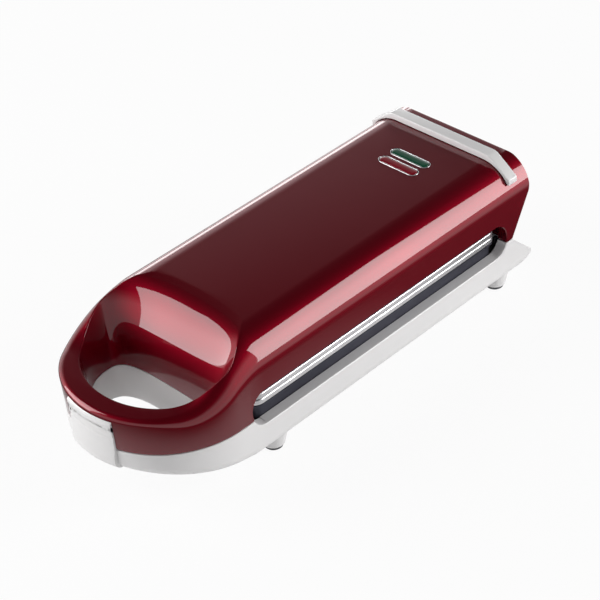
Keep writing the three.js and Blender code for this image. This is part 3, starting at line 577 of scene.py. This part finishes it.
def mottled(material, colour_a, colour_b, gloss, mottle_scale, grain_scale, bump=0.0):
    """Lays the shared mottle over a material, with that finish's own values."""
    tree = material.node_tree
    place = add_node(tree, "ShaderNodeTexCoord").outputs["Object"]
    group = add_node(tree, "ShaderNodeGroup", {
        "Place": place, "Mottle Scale": mottle_scale, "Grain Scale": grain_scale,
        "Colour A": (*colour_a, 1), "Colour B": (*colour_b, 1),
        "Gloss Low": gloss[0], "Gloss High": gloss[1]}, node_tree=MOTTLE)
    links = {"Base Color": group.outputs["Colour"], "Roughness": group.outputs["Roughness"]}
    if bump:
        links["Normal"] = add_node(tree, "ShaderNodeBump", {
            "Strength": bump, "Distance": GRAIN_DEPTH, "Height": group.outputs["Grain"]})
    set_inputs(tree, tree.nodes["Principled BSDF"], links)


def dress(obj, *materials):
    obj.data.materials.clear()
    for material in materials:
        obj.data.materials.append(material)


lid = trimmed_loft(lid_levels(0, SEAM_GAP, lip=LIP_ROUND), lid_side(0), "lid_shell_lacquered")
cavity = trimmed_loft(lid_levels(-WALL, -SEAM_OVERLAP, arc_steps=12), lid_side(WALL))
cut_with(cavity, opening_cutter(grow=WALL), block(LATCH_BLOCK, *LATCH_YS, -5, RING_HEIGHT))
cut_with(lid, cavity, opening_cutter(rim=OPENING_RIM), slot_cutter())
join_to(lid, slot_returns(upper=True))
room_half = LATCH_HALF + CLEARANCE
latch_room = block(room_half, *LATCH_YS, -20, LATCH_PIN_Z)
cut_with(latch_room, mirrored_loft(lid_levels(-LATCH_RECESS, 0)))
cut_with(lid, latch_room, head_barrel(0.0, room_half))
join_to(lid, posts((SCREW_SPOTS, BOSS, LID_BOSS_ZS)))
cut_with(lid, posts((SCREW_SPOTS, SCREW_BORE, LID_BORE_ZS), (BAR_SCREW_SPOTS, SCREW_BORE, BAR_BORE_ZS)))
add_hinge(lid, LID_KNUCKLES, BASE_KNUCKLES, (HINGE_Y - 4.5, HINGE_Y + 2.5, 0.5, 4),
          [latch_rod(LATCH_PIN_BORE, 20.5)])
LENS_YS = {"ready_lens": 220.0, "power_lens": 208.5}
window = [(15.3, 3.55, 44.0), (15.3, 3.55, 50.75), (15.6, 3.85, 51.05), (15.6, 3.85, 54)]
cut_with(lid, gathered([stacked(pill_loops(y, window)) for y in LENS_YS.values()]))
smooth_faces(cleaned(lid))

lacquer_material = surface("metallic_red_lacquer", (0.172, 0.0007, 0.008), 0.5, 0.78,
                           {"Coat Weight": 1.0, "Coat Roughness": 0.03, "Coat IOR": 1.52,
                            "Specular IOR Level": 0.0})
mottled(lacquer_material, (0.178, 0.0007, 0.0085), (0.165, 0.0006, 0.0078), (0.46, 0.52), 14.0, 2600.0)
dress(lid, lacquer_material)
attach(lid, "lid")
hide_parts("lid_shell")


# Base shell: injection-moulded pale plastic, one piece with the lower half of the ring handle,
# the feet, screw bosses, slot sills, vents and hinge knuckles. Its edges are softly rounded.
BASE_DEPTH, BASE_BILGE = 30.0, 9.0
RING_DEPTH, RING_BILGE = 14.5, 6.0
KEEL_BACK = 12.0        # the ring's underside drops to the body's up to here
BASE_LENGTH = SHELL_LENGTH + 1.5
FOOT_X, FOOT_FRONT, FOOT_BACK = 49.0, 36.0, 246.5
FOOT_SPOTS = [(x, y) for y in (FOOT_FRONT, FOOT_BACK) for x in (-FOOT_X, FOOT_X)]
FOOT_ROWS = [(6.6, -39.5), (6.85, -39.35), (7.05, -39.0), (9.5, -28.5)]
BASE_BOSS_ZS, BASE_BORE_ZS = (-29, -15.05), (-34, -10)
HEAD_BORE, HEAD_BORE_ZS = 3.9, (-34, -20.75)
PEG_BORE, PEG_BORE_ZS = 2.3, (-41, -36.2)
SILL_XS, SILL_YS, SILL_DEPTH = ((-60.75, -54.5), (54.5, 60.75)), (21.0, 237.5), 3.0
VENT_STARTS, VENT_PITCH = (64.0, 160.0), 8.0
VENT_ROWS = [(18.6, 2.2, -34), (18.6, 2.2, -30.3), (18, 1.6, -29.7), (18, 1.6, -24)]
GLAND_TURN = math.atan2(8.2, 13.5)
GLAND_AT = Vector((0, BASE_LENGTH - 9.25, -25.9))
GLAND_OUT = Vector((0, math.sin(GLAND_TURN), -math.cos(GLAND_TURN)))


def base_levels(grow, top, end_y=BEYOND_REAR, arc_steps=16, lip=0.0):
    def place(row, at):
        if isinstance(row, tuple):
            return row[1], top - row[0]
        drop = min(max((at + HALF_WIDTH) / (KEEL_BACK + HALF_WIDTH), 0.0), 1.0)
        corner = between(RING_BILGE, BASE_BILGE, drop)
        wall_end = corner - between(RING_DEPTH, BASE_DEPTH, drop)
        arc = row / arc_steps * math.pi / 2
        return (corner + grow) * (1 - math.cos(arc)), wall_end - (corner + grow) * math.sin(arc)

    return shell_levels(list(range(arc_steps, -1, -1)) + lip_rows(lip), grow, end_y, place)


def base_side(inset):
    """The base from the side: a flat floor, a sloped rear face and a round tip under the hinge."""
    tip = BASE_LENGTH - inset
    foot = HINGE_Y - 1.4 - inset * 1.2
    floor_z = -BASE_DEPTH + inset
    a, b, c = (tip - 2.5, -21.8), (tip, -20.0), (tip - 1.6, -17.8)
    bend = [tuple(a[k] * (1 - t) ** 2 + 2 * b[k] * t * (1 - t) + c[k] * t * t for k in (0, 1))
            for t in (0, 0.2, 0.4, 0.6, 0.8, 1.0)]
    return [(BEYOND_FRONT, 20), (BEYOND_FRONT, floor_z - 12), (tip - 36, floor_z), (tip - 16, floor_z),
            *bend, (foot, 0), (foot, 20)]


def along_gland(rows, sides=48, name="tool"):
    """A turned shape about the gland's axis, which leaves the lower rear face."""
    side, up = Vector((1, 0, 0)), GLAND_OUT.cross(Vector((1, 0, 0)))
    loops = []
    for r, h in rows:
        centre = GLAND_AT + GLAND_OUT * h
        loops.append([tuple(centre + (side * math.cos(a) + up * math.sin(a)) * r)
                      for a in (2 * math.pi * k / sides for k in range(sides))])
    return stacked(loops, name)


def copied(tree, points, shape):
    """Sets a shape at every point, as real geometry."""
    copies = add_node(tree, "GeometryNodeInstanceOnPoints", {"Points": points, "Instance": shape})
    return add_node(tree, "GeometryNodeRealizeInstances", {"Geometry": copies})


def tree_mesh(name, tree, values):
    """Runs a Geometry Nodes tree with its inputs set by identifier, and keeps the plain mesh."""
    obj = add_object(name, bpy.data.meshes.new(name))
    step = obj.modifiers.new("tree", "NODES")
    step.node_group = tree
    sockets = {item.name: item.identifier for item in tree.interface.items_tree
               if item.item_type == "SOCKET" and item.in_out == "INPUT"}
    for label, value in values.items():
        step[sockets[label]] = value
    keep_result(obj, step)
    return obj


base = trimmed_loft(base_levels(0, -SEAM_GAP, lip=LIP_ROUND), base_side(0), "base_shell_moulded")
cavity = trimmed_loft(base_levels(-WALL, SEAM_OVERLAP, arc_steps=8), base_side(WALL))
cut_with(cavity, opening_cutter(grow=WALL), block(LATCH_BLOCK, *LATCH_YS, -30, 5))
cut_with(base, cavity, opening_cutter(), slot_cutter())
join_to(base, slot_returns(upper=False))
latch_room = block(room_half, *LATCH_YS, -30, 20)
cut_with(latch_room, mirrored_loft(base_levels(-LATCH_RECESS, 0)))
hook_room = block(7.3, -62, -57.1, -11.3, -7.7)
cut_with(base, latch_room, hook_room)
sills = [box(*ends, *SILL_YS, SLOT_BOTTOM - SILL_DEPTH, SLOT_BOTTOM) for ends in SILL_XS]
join_to(base, gathered(sills), posts((SCREW_SPOTS, BOSS, BASE_BOSS_ZS)),
        gathered([turned(FOOT_ROWS, x, y, 48) for x, y in FOOT_SPOTS]))
cut_with(base, posts((SCREW_SPOTS, SCREW_BORE, BASE_BORE_ZS), (FOOT_SPOTS, PEG_BORE, PEG_BORE_ZS)),
         posts((SCREW_SPOTS, HEAD_BORE, HEAD_BORE_ZS)))
add_hinge(base, BASE_KNUCKLES, LID_KNUCKLES, (HINGE_Y - 4.5, HINGE_Y + 3, -6, -2))
cut_with(base, along_gland([(5.3, -12), (5.3, 12)]))

vent_tree, given = new_tree(
    "vent_row", "GeometryNodeTree",
    {"Vent": "Object", "Count": "Int", "Pitch": "Float", "Start": "Float"}, {"Geometry": "Geometry"})
first, pitch = (add_node(vent_tree, "ShaderNodeCombineXYZ", {"Y": given[label]})
                for label in ("Start", "Pitch"))
row = add_node(vent_tree, "GeometryNodeMeshLine", {"Count": given["Count"], "Start Location": first,
                                                   "Offset": pitch})
shape = add_node(vent_tree, "GeometryNodeObjectInfo", {"Object": given["Vent"]}).outputs["Geometry"]
add_node(vent_tree, "NodeGroupOutput", {"Geometry": copied(vent_tree, row, shape)})
one_vent = stacked(pill_loops(-RING_Y, VENT_ROWS, 8), "one_vent")
for start in VENT_STARTS:
    cut_with(base, tree_mesh("vents", vent_tree, {
        "Vent": one_vent, "Count": 4, "Pitch": VENT_PITCH / 1000, "Start": (start + RING_Y) / 1000}))
bpy.data.objects.remove(one_vent)
smooth_faces(cleaned(base))

pale_material = surface("pale_moulded_plastic", (0.76, 0.75, 0.745), 0.34, 0.0,
                        {"Coat Weight": 0.25, "Coat Roughness": 0.15})
mottled(pale_material, (0.775, 0.765, 0.76), (0.755, 0.745, 0.742), (0.3, 0.38), 18.0, 1500.0, 0.12)
dress(base, pale_material)
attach(base, "base")
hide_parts("base_shell")


# Front latch: the same pale plastic, a curved plate with a groove under a round head that turns on
# a steel pin in the lid. A hook on its inner face holds the base, and a coil spring closes it.
LATCH_FOOT = -15.1
LATCH_GROOVE = 9.0
LATCH_DEPTH = 2.3       # how far the plate goes into the shells' outline
LATCH_REAR = 110        # where the rough shapes of the latch end
SPRING_ROOM, SPRING_HALF = 3.45, 5.1


def latch_face(z):
    """How far the face stands out from the ring at a height: a groove, and a round lower end."""
    out = 1.0 + RING_BULGE * max(z, 0.0) + math.exp(-((z + 7) / 6) ** 2)
    out -= 0.5 * math.exp(-((z - LATCH_GROOVE) / 1.1) ** 2)
    turn = min(max((-10.0 - z) / (-10.0 - LATCH_FOOT), 0.0), 1.0)
    return out - 4.5 * (1 - math.sqrt(1 - turn ** 2))


def soften_edges(obj, width, segments, sharp):
    step = obj.modifiers.new("soft_edges", "BEVEL")
    step.width, step.segments, step.limit_method = width, segments, "ANGLE"
    step.angle_limit = math.radians(sharp)
    keep_result(obj, step)
    smooth_faces(obj)


latch_heights = [LATCH_FOOT + 5.1 * (1 - math.cos(math.pi * k / 20)) for k in range(11)]
latch_heights += [-8, -6, -4, -2, 0, 2, 4, 5.5] + [6 + 0.4 * k for k in range(16)]
latch_heights += [13, 15, 17, 19, 20.5, 22]
latch_loft = [[(x, y, z) for x, y, *_ in shell_outline(latch_face(z), 100)] for z in latch_heights]
latch = mirrored_loft(latch_loft, "latch_moulded")
inside = mirrored_loft(lid_levels(-LATCH_DEPTH, -0.02, LATCH_REAR))
join_to(inside, mirrored_loft(base_levels(-LATCH_DEPTH, 0.02, LATCH_REAR)))
cut_with(latch, inside)
keep_inside(latch, block(LATCH_HALF, *LATCH_YS, LATCH_FOOT, LATCH_PIN_Z))
head = mirrored_loft(latch_loft)
keep_inside(head, head_barrel(-0.4, LATCH_HALF))
hook = block(7, -60.7, -57.4, -11, -8)
join_to(latch, head, hook)
cut_with(latch, latch_rod(SPRING_ROOM, SPRING_HALF),
         block(SPRING_HALF, LATCH_PIN_Y, -43, LATCH_PIN_Z - SPRING_ROOM, LATCH_PIN_Z + SPRING_ROOM),
         latch_rod(LATCH_PIN_BORE, 19.5))
soften_edges(cleaned(latch), 0.0006, 3, 50)
dress(latch, pale_material)
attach(latch, "latch")
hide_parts("latch")


# Rear bar: pale plastic moulding that bridges the lid, with two screws from inside the lid.
# It is a stop for the lid when open, and a grip. Its ends run down over the shoulders.
BAR_FRONT, BAR_BACK, BAR_TOP = 248.0, 256.5, LID_HEIGHT + 5
bar_view = [(-58.5, 30.5), (58.5, 30.5), (58.5, 43.5), (42.5, BAR_TOP - 0.8), (40, BAR_TOP),
            (-40, BAR_TOP), (-42.5, BAR_TOP - 0.8), (-58.5, 43.5)]
bar = stacked([[(x, y, z) for x, z in bar_view] for y in (BAR_BACK, BAR_FRONT)], "rear_bar_moulded")
cut_with(bar, mirrored_loft(lid_levels(CLEARANCE, -1)),
         block(HALF_WIDTH, BAR_FRONT - 1, BAR_BACK + 1, 0, 39.5),
         posts((BAR_SCREW_SPOTS, SCREW_BORE, (50, BAR_TOP - 1.2))))
soften_edges(cleaned(bar), 0.0009, 4, 30)
dress(bar, pale_material)
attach(bar, "lid")
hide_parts("rear_bar")


# Indicator lenses: two clear tinted pills, green for ready and red for power, pushed up through
# the lid from inside on a flange. Their tops are slightly domed.
LENS_TINTS = {"ready_lens": (0.012, 0.085, 0.045), "power_lens": (0.25, 0.006, 0.016)}
LENS_ROWS = [(16.5, 4.75, 46.7), (16.5, 4.75, 48.2), (15.0, 3.25, 48.2), (15.0, 3.25, 51.1),
             (14.85, 3.1, 51.35), (14.5, 2.75, 51.5), (13.6, 1.85, 51.58), (12.6, 0.85, 51.6)]
for node, y in LENS_YS.items():
    lens = stacked(pill_loops(y, LENS_ROWS), node + "_domed")
    smooth_faces(cleaned(lens), 40)
    tint = LENS_TINTS[node]
    lens_material = surface(node + "_tinted_plastic", tint, 0.12, 0.0,
                            {"Coat Weight": 1.0, "Coat Roughness": 0.03})
    mottled(lens_material, tint, tuple(c * 0.8 for c in tint), (0.08, 0.16), 60.0, 900.0)
    dress(lens, lens_material)
    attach(lens, "lid")
    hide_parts(node)


# Mould plates: cast aluminium, each with four fluted half-round moulds, a flat rim and a body
# that sits in its reflector pan. The moulds carry a dark non-stick coat; the rims are bare metal.
PLATE_SEAM = 6.0        # where the two plates meet, above the shells' seam
PLATE_HALF, PLATE_FRONT, PLATE_BACK, PLATE_CORNER = 56.0, 16.0, 240.0, 8.0
PLATE_MIDDLE = 128.0
PLATE_ROWS = ((0.4, 0.25), (0, 0.65), (0, 3.6), (0.4, 4.0), (3.5, 4.0), (3.5, 12.4), (4.1, 13.0))
MOULD_XS, MOULD_PITCH, MOULD_LENGTH = (-37.5, -12.5, 12.5, 37.5), 25.0, 200.0
MOULD_RADIUS, FLUTE_DEPTH = 8.9, 0.9

flute_tree, given = new_tree(
    "fluted_moulds", "GeometryNodeTree",
    {"Radius": "Float", "Flute Depth": "Float", "Flutes": "Float", "Length": "Float", "Count": "Int",
     "Pitch": "Float"}, {"Geometry": "Geometry"})
circle = add_node(flute_tree, "GeometryNodeMeshCircle", {"Vertices": 144, "Radius": 1.0},
                  fill_type="NGON")
position = add_node(flute_tree, "GeometryNodeInputPosition")
split = add_node(flute_tree, "ShaderNodeSeparateXYZ", {"Vector": position}).outputs
angle = math_node(flute_tree, "ARCTAN2", split["Y"], split["X"])
wave = math_node(flute_tree, "COSINE", math_node(flute_tree, "MULTIPLY", angle, given["Flutes"]))
depth = math_node(flute_tree, "MULTIPLY_ADD", wave, given["Flute Depth"], given["Radius"])
scaled = add_node(flute_tree, "ShaderNodeVectorMath", {"Vector": position, "Scale": depth},
                  operation="SCALE")
fluted = add_node(flute_tree, "GeometryNodeSetPosition", {"Geometry": circle, "Position": scaled})
drawn = add_node(flute_tree, "GeometryNodeExtrudeMesh", {"Mesh": fluted, "Individual": False,
                                                         "Offset Scale": given["Length"]}, mode="FACES")
flipped = add_node(flute_tree, "GeometryNodeFlipFaces", {"Mesh": fluted})
whole = add_node(flute_tree, "GeometryNodeJoinGeometry", {"Geometry": [flipped, drawn]})
welded = add_node(flute_tree, "GeometryNodeMergeByDistance", {"Geometry": whole, "Distance": 0.000001})
laid = add_node(flute_tree, "GeometryNodeTransform", {"Geometry": welded,
                                                      "Rotation": (math.pi / 2, 0, 0)})
pitch = add_node(flute_tree, "ShaderNodeCombineXYZ", {"X": given["Pitch"]})
row = add_node(flute_tree, "GeometryNodeMeshLine", {"Count": given["Count"], "Offset": pitch})
add_node(flute_tree, "NodeGroupOutput", {"Geometry": copied(flute_tree, row, laid)})


def plate_stack(side, rows, name="tool"):
    """Outlines from rows of (inset from the plate's edge, distance from the plates' seam). Side is
    1 for the upper plate and -1 for the lower one."""
    loops = []
    for inset, depth in rows:
        outline = round_cornered(inset - PLATE_HALF, PLATE_HALF - inset, PLATE_FRONT + inset,
                                 PLATE_BACK - inset, PLATE_CORNER - inset)
        loops.append([(x, y, PLATE_SEAM + side * depth) for x, y in outline])
    return stacked(loops[::side], name)


def mould_plate(name, side):
    plate = plate_stack(side, PLATE_ROWS, name)
    moulds = tree_mesh("tool", flute_tree, {
        "Radius": MOULD_RADIUS / 1000, "Flute Depth": FLUTE_DEPTH / 1000, "Flutes": 8.0,
        "Length": MOULD_LENGTH / 1000, "Count": 4, "Pitch": MOULD_PITCH / 1000})
    first = (MOULD_XS[0], PLATE_MIDDLE + MOULD_LENGTH / 2 + RING_Y, SEAM_Z + PLATE_SEAM)
    moulds.data.transform(Matrix.Translation([c / 1000 for c in first]))
    cut_with(plate, cleaned(moulds, 0.000001))
    channels = []
    for x in (-25, 0, 25):
        view = [(x - 8.5, 14), (x + 8.5, 14), (x + 7.5, 12.6), (x + 1, 5.5), (x - 1, 5.5),
                (x - 7.5, 12.6)]
        ends = [[(px, y, PLATE_SEAM + side * h) for px, h in view] for y in (28.0, 228.0)]
        channels.append(stacked(ends[::side]))
    cut_with(plate, gathered(channels))
    if side > 0:
        head_bores = [turned(((4.2, 5), (HEAD_BORE, 9.35)), x, y) for x, y in SCREW_SPOTS]
        cut_with(plate, posts((SCREW_SPOTS, SCREW_BORE, (5, 20))), gathered(head_bores))
    else:
        cut_with(plate, posts((SCREW_SPOTS, SCREW_BORE, (-8, 2.75))))
    smooth_faces(cleaned(plate), 28)
    dress(plate, rim_material, coat_material)
    for face in plate.data.polygons:
        x, y, z = (c * 1000 for c in face.center)
        h = z - SEAM_Z - PLATE_SEAM
        in_mould = any(math.hypot(x - c, h) < MOULD_RADIUS + FLUTE_DEPTH + 0.4 for c in MOULD_XS)
        in_length = abs(y - RING_Y - PLATE_MIDDLE) < MOULD_LENGTH / 2 + 0.2
        face.material_index = 1 if in_mould and in_length and abs(h) > 0.3 else 0
    return plate


rim_material = surface("cast_aluminium_rim", (0.78, 0.77, 0.78), 0.3, 0.9)
mottled(rim_material, (0.8, 0.79, 0.8), (0.72, 0.71, 0.73), (0.24, 0.36), 40.0, 1200.0, 0.08)
coat_material = surface("non_stick_coat", (0.05, 0.048, 0.05), 0.35, 0.2)
mottled(coat_material, (0.055, 0.052, 0.052), (0.04, 0.038, 0.042), (0.3, 0.42), 50.0, 1800.0, 0.3)
for node, side, body in (("lower_plate", -1, "base"), ("upper_plate", 1, "lid")):
    plate = mould_plate(node + "_cast", side)
    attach(plate, body)
    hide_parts(node)


# Reflector pans: thin pressed steel sheet in a very dark grey, with a flange under the plate's rim.
# They keep the heat off the shells. The lower one shows as a dark band in the side slot.
sheet_material = surface("very_dark_pressed_sheet", (0.075, 0.075, 0.1), 0.42, 0.8)
mottled(sheet_material, (0.08, 0.08, 0.105), (0.055, 0.055, 0.075), (0.36, 0.5), 25.0, 700.0, 0.2)
for node, side, body in (("lower_reflector", -1, "base"), ("upper_reflector", 1, "lid")):
    pan = plate_stack(side, ((0, 4.3), (0, 5.3), (2, 5.3), (2, 20.0), (3.3, 21.3)), node + "_pressed")
    cut_with(pan, plate_stack(side, ((3, 3), (3, 19.6), (3.7, 20.3))))
    bore_zs = sorted(PLATE_SEAM + side * h for h in (18, 23))
    cut_with(pan, posts((SCREW_SPOTS, SCREW_BORE, bore_zs)))
    smooth_faces(cleaned(pan))
    dress(pan, sheet_material)
    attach(pan, body)
    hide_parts(node)


# Foot pads: four soft rubber buttons, each pressed into a foot by a short peg. One turned shape
# is set at the four feet.
PAD_ROWS = [(5.0, 0.0), (5.6, 0.15), (5.9, 0.5), (6.0, 1.0), (6.0, 2.0), (5.85, 2.2), (2.0, 2.2),
            (2.0, 4.9), (1.7, 5.2)]
rubber_material = surface("soft_rubber", (0.09, 0.09, 0.095), 0.75)
mottled(rubber_material, (0.095, 0.095, 0.1), (0.075, 0.075, 0.08), (0.68, 0.85), 80.0, 1500.0, 0.4)
pad_tree, given = new_tree("foot_pads", "GeometryNodeTree",
                           {"Pad": "Object", "Half Width": "Float", "Front": "Float", "Length": "Float",
                            "Rubber": "Material"}, {"Geometry": "Geometry"})
wide = math_node(pad_tree, "MULTIPLY", given["Half Width"], 2.0)
grid = add_node(pad_tree, "GeometryNodeMeshGrid", {"Vertices X": 2, "Vertices Y": 2, "Size X": wide,
                                                   "Size Y": given["Length"]})
middle = math_node(pad_tree, "MULTIPLY_ADD", given["Length"], 0.5, given["Front"])
shift = add_node(pad_tree, "ShaderNodeCombineXYZ", {"Y": middle})
moved = add_node(pad_tree, "GeometryNodeTransform", {"Geometry": grid, "Translation": shift})
shape = add_node(pad_tree, "GeometryNodeObjectInfo", {"Object": given["Pad"]}).outputs["Geometry"]
coated = add_node(pad_tree, "GeometryNodeSetMaterial", {"Geometry": copied(pad_tree, moved, shape),
                                                        "Material": given["Rubber"]})
add_node(pad_tree, "NodeGroupOutput", {"Geometry": coated})
one_pad = turned([(r, z - SEAM_Z) for r, z in PAD_ROWS], 0, -RING_Y, name="one_pad")
pads = tree_mesh("foot_pads_rubber", pad_tree, {
    "Pad": one_pad, "Half Width": FOOT_X / 1000, "Front": (FOOT_FRONT + RING_Y) / 1000,
    "Length": (FOOT_BACK - FOOT_FRONT) / 1000, "Rubber": rubber_material})
bpy.data.objects.remove(one_pad)
smooth_faces(pads, 40)
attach(pads, "base")
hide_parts("foot_pad_front_left", "foot_pad_front_right", "foot_pad_rear_left", "foot_pad_rear_right")


# Cord gland: a soft rubber bush in the lower rear face, where the mains lead leaves the base. It
# has a rounded flange outside and a neck through the wall.
GLAND_ROWS = [(5.0, -5.7), (5.0, 0.3), (7.5, 0.3), (7.5, 1.2), (7.2, 1.7), (6.6, 1.95), (4.2, 2.5),
              (3.9, 2.4), (3.2, 1.9)]
gland = along_gland(GLAND_ROWS, 64, "cord_gland_rubber")
cut_with(gland, along_gland([(3.2, -12), (3.2, 6)], 64))
smooth_faces(cleaned(gland), 40)
dress(gland, rubber_material)
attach(gland, "base")
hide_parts("cord_gland")


# Plated steel: pins, screws and the latch spring. These keep their CAD shapes and get a bright
# plated surface with a fine grain.
steel_material = surface("plated_steel", (0.6, 0.6, 0.61), 0.28, 1.0)
mottled(steel_material, (0.62, 0.62, 0.63), (0.52, 0.52, 0.54), (0.22, 0.36), 120.0, 2500.0, 0.15)
for name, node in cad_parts.items():
    if any(word in name for word in ("screw", "_pin", "latch_spring")):
        dress(node, steel_material)


# Lens bezels: a thin plated ring round each lens, pressed into the lid from outside.
# Its outer and inner edges are rounded over.
BEZEL_ROWS = [(0.52, 50.9), (0.55, 51.2), (0.47, 51.38), (0.3, 51.45), (0.13, 51.38), (0.04, 51.2),
              (0.02, 50.9)]
for node, y in LENS_YS.items():
    loops = pill_loops(y, [(15.35 + spread, 3.6 + spread, z) for spread, z in BEZEL_ROWS])
    n, count = len(loops[0]), len(loops)
    rings = [(k * n, (k + 1) % count * n) for k in range(count)]
    faces = [(a + i, a + (i + 1) % n, b + (i + 1) % n, b + i) for a, b in rings for i in range(n)]
    bezel = part_object([point for loop in loops for point in loop], faces, node + "_bezel")
    smooth_faces(cleaned(bezel), 60)
    dress(bezel, steel_material)
    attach(bezel, "lid")


# Heating elements: tubular steel sheaths behind the plates, dull and browned by heat.
heater_material = surface("heater_sheath", (0.16, 0.14, 0.125), 0.5, 0.8)
mottled(heater_material, (0.18, 0.155, 0.135), (0.11, 0.1, 0.1), (0.42, 0.6), 70.0, 1500.0, 0.3)
for name in ("lower_element", "upper_element"):
    dress(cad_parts[name], heater_material)


# Insulators: thermostats, fuse, terminal block and lamp holder, in matt off-white ceramic.
ceramic_material = surface("matt_insulator", (0.68, 0.63, 0.55), 0.6)
mottled(ceramic_material, (0.7, 0.65, 0.57), (0.62, 0.57, 0.5), (0.55, 0.7), 60.0, 900.0, 0.4)
for name in ("lower_thermostat", "upper_thermostat", "thermal_fuse", "terminal_block", "lamp_holder"):
    dress(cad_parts[name], ceramic_material)


# Lamps: small clear glass tubes under the lenses.
glass_material = surface("lamp_glass", (0.8, 0.72, 0.6), 0.1)
mottled(glass_material, (0.8, 0.72, 0.6), (0.76, 0.68, 0.57), (0.06, 0.14), 90.0, 900.0)
for name in ("ready_lamp", "power_lamp"):
    dress(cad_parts[name], glass_material)


# Floor and light: a plain white floor under a dim ceiling. A tall soft panel at the right rear runs
# down the lid's shoulder as a highlight, one at the front left fills the scoop, and a low one at the
# rear left edges the far side. A reflection of the floor goes from white to a dark table to white.
EDGE = 6
WHITE = (1, 1, 1, 1)
SHEET_END, TABLE_END = (0.1, 0.155), (0.21, 0.29)   # metres from the middle, where each fades out
TABLE_DARKNESS = 0.97
SHARE_NEAR, SHARE_RISE, SHARE_CAMERA = 0.4, 0.55, 0.93      # how much glow hides the lit floor
floor_mesh = bpy.data.meshes.new("studio_floor")
floor_mesh.from_pydata([(-EDGE, -EDGE, 0), (EDGE, -EDGE, 0), (EDGE, EDGE, 0), (-EDGE, EDGE, 0)], [],
                       [(0, 1, 2, 3)])
floor = add_object("studio_floor", floor_mesh)
floor_material = surface("studio_floor_white", (0.9, 0.9, 0.9), 0.9, 0.0, {"Specular IOR Level": 0.0})
tree = floor_material.node_tree
path = add_node(tree, "ShaderNodeLightPath").outputs
place = add_node(tree, "ShaderNodeTexCoord").outputs["Object"]
stretch = add_node(tree, "ShaderNodeMapping", {"Vector": place, "Scale": (1.0, 0.6, 0.0)})
reach = add_node(tree, "ShaderNodeVectorMath", {0: stretch}, operation="LENGTH").outputs["Value"]
off_sheet, at_backdrop = (
    add_node(tree, "ShaderNodeMapRange", {"Value": reach, "From Min": start, "From Max": end},
             interpolation_type="SMOOTHSTEP") for start, end in (SHEET_END, TABLE_END))
mirrored = math_node(tree, "MAXIMUM", path["Is Glossy Ray"], path["Is Transmission Ray"])
on_table = math_node(tree, "SUBTRACT", off_sheet, at_backdrop)
dark_part = math_node(tree, "MULTIPLY", mirrored, on_table)
glow_level = math_node(tree, "MULTIPLY_ADD", dark_part, -TABLE_DARKNESS, 1.0)
glow = add_node(tree, "ShaderNodeEmission", {"Color": WHITE, "Strength": glow_level})
share = math_node(tree, "MULTIPLY_ADD", off_sheet, SHARE_RISE, SHARE_NEAR)
by_camera = math_node(tree, "MULTIPLY", path["Is Camera Ray"], SHARE_CAMERA)
seen = math_node(tree, "MULTIPLY_ADD", mirrored, share, by_camera)
lit = add_node(tree, "ShaderNodeMixShader", {"Fac": seen, 1: tree.nodes["Principled BSDF"], 2: glow})
underside = add_node(tree, "ShaderNodeNewGeometry").outputs["Backfacing"]
from_below = math_node(tree, "MULTIPLY", underside, path["Is Camera Ray"])
clear = add_node(tree, "ShaderNodeBsdfTransparent")
pass_on = add_node(tree, "ShaderNodeMixShader", {"Fac": from_below, 1: lit, 2: clear})
set_inputs(tree, tree.nodes["Material Output"], {"Surface": pass_on})
floor.data.materials.append(floor_material)
bpy.context.scene.view_settings.view_transform = "Standard"

world = bpy.data.worlds.new("studio_world")
bpy.context.scene.world = world
world.use_nodes = True
tree = world.node_tree
direction = add_node(tree, "ShaderNodeTexCoord").outputs["Generated"]
height = add_node(tree, "ShaderNodeSeparateXYZ", {"Vector": direction}).outputs["Z"]
sky = add_node(tree, "ShaderNodeValToRGB", {"Fac": height})
low, high = sky.color_ramp.elements
low.position, low.color = 0.36, (0.85, 0.85, 0.86, 1)
high.position, high.color = 0.62, (0.02, 0.02, 0.021, 1)
sky.color_ramp.elements.new(0.52).color = (0.22, 0.22, 0.224, 1)
sight = add_node(tree, "ShaderNodeLightPath").outputs["Is Camera Ray"]
backdrop = add_node(tree, "ShaderNodeMix", {"Factor": sight, "A": sky, "B": WHITE}, data_type="RGBA")
set_inputs(tree, tree.nodes["Background"], {"Color": backdrop.outputs["Result"]})


def standing_panel(name, azimuth, distance, width, foot, top, radiance):
    """A soft panel that stands beside the object and faces it, at an azimuth from +x."""
    angle = math.radians(azimuth)
    lamp = bpy.data.lights.new(name, "AREA")
    lamp.shape = "RECTANGLE"
    lamp.size, lamp.size_y = width, top - foot
    lamp.energy = radiance * math.pi * width * (top - foot)
    obj = add_object(name, lamp)
    outwards = Vector((math.cos(angle), math.sin(angle), 0))
    obj.location = outwards * distance + Vector((0, 0, (foot + top) / 2))
    obj.rotation_euler = outwards.to_track_quat("Z", "Y").to_euler()
    obj.visible_camera = False


standing_panel("right_rear_panel", 40, 1.5, 0.66, 0.0, 1.45, 6.8)
standing_panel("front_left_panel", -137, 1.2, 0.8, 0.0, 1.4, 5.0)
standing_panel("low_rear_left_panel", 143, 1.6, 1.2, 0.0, 0.32, 3.4)
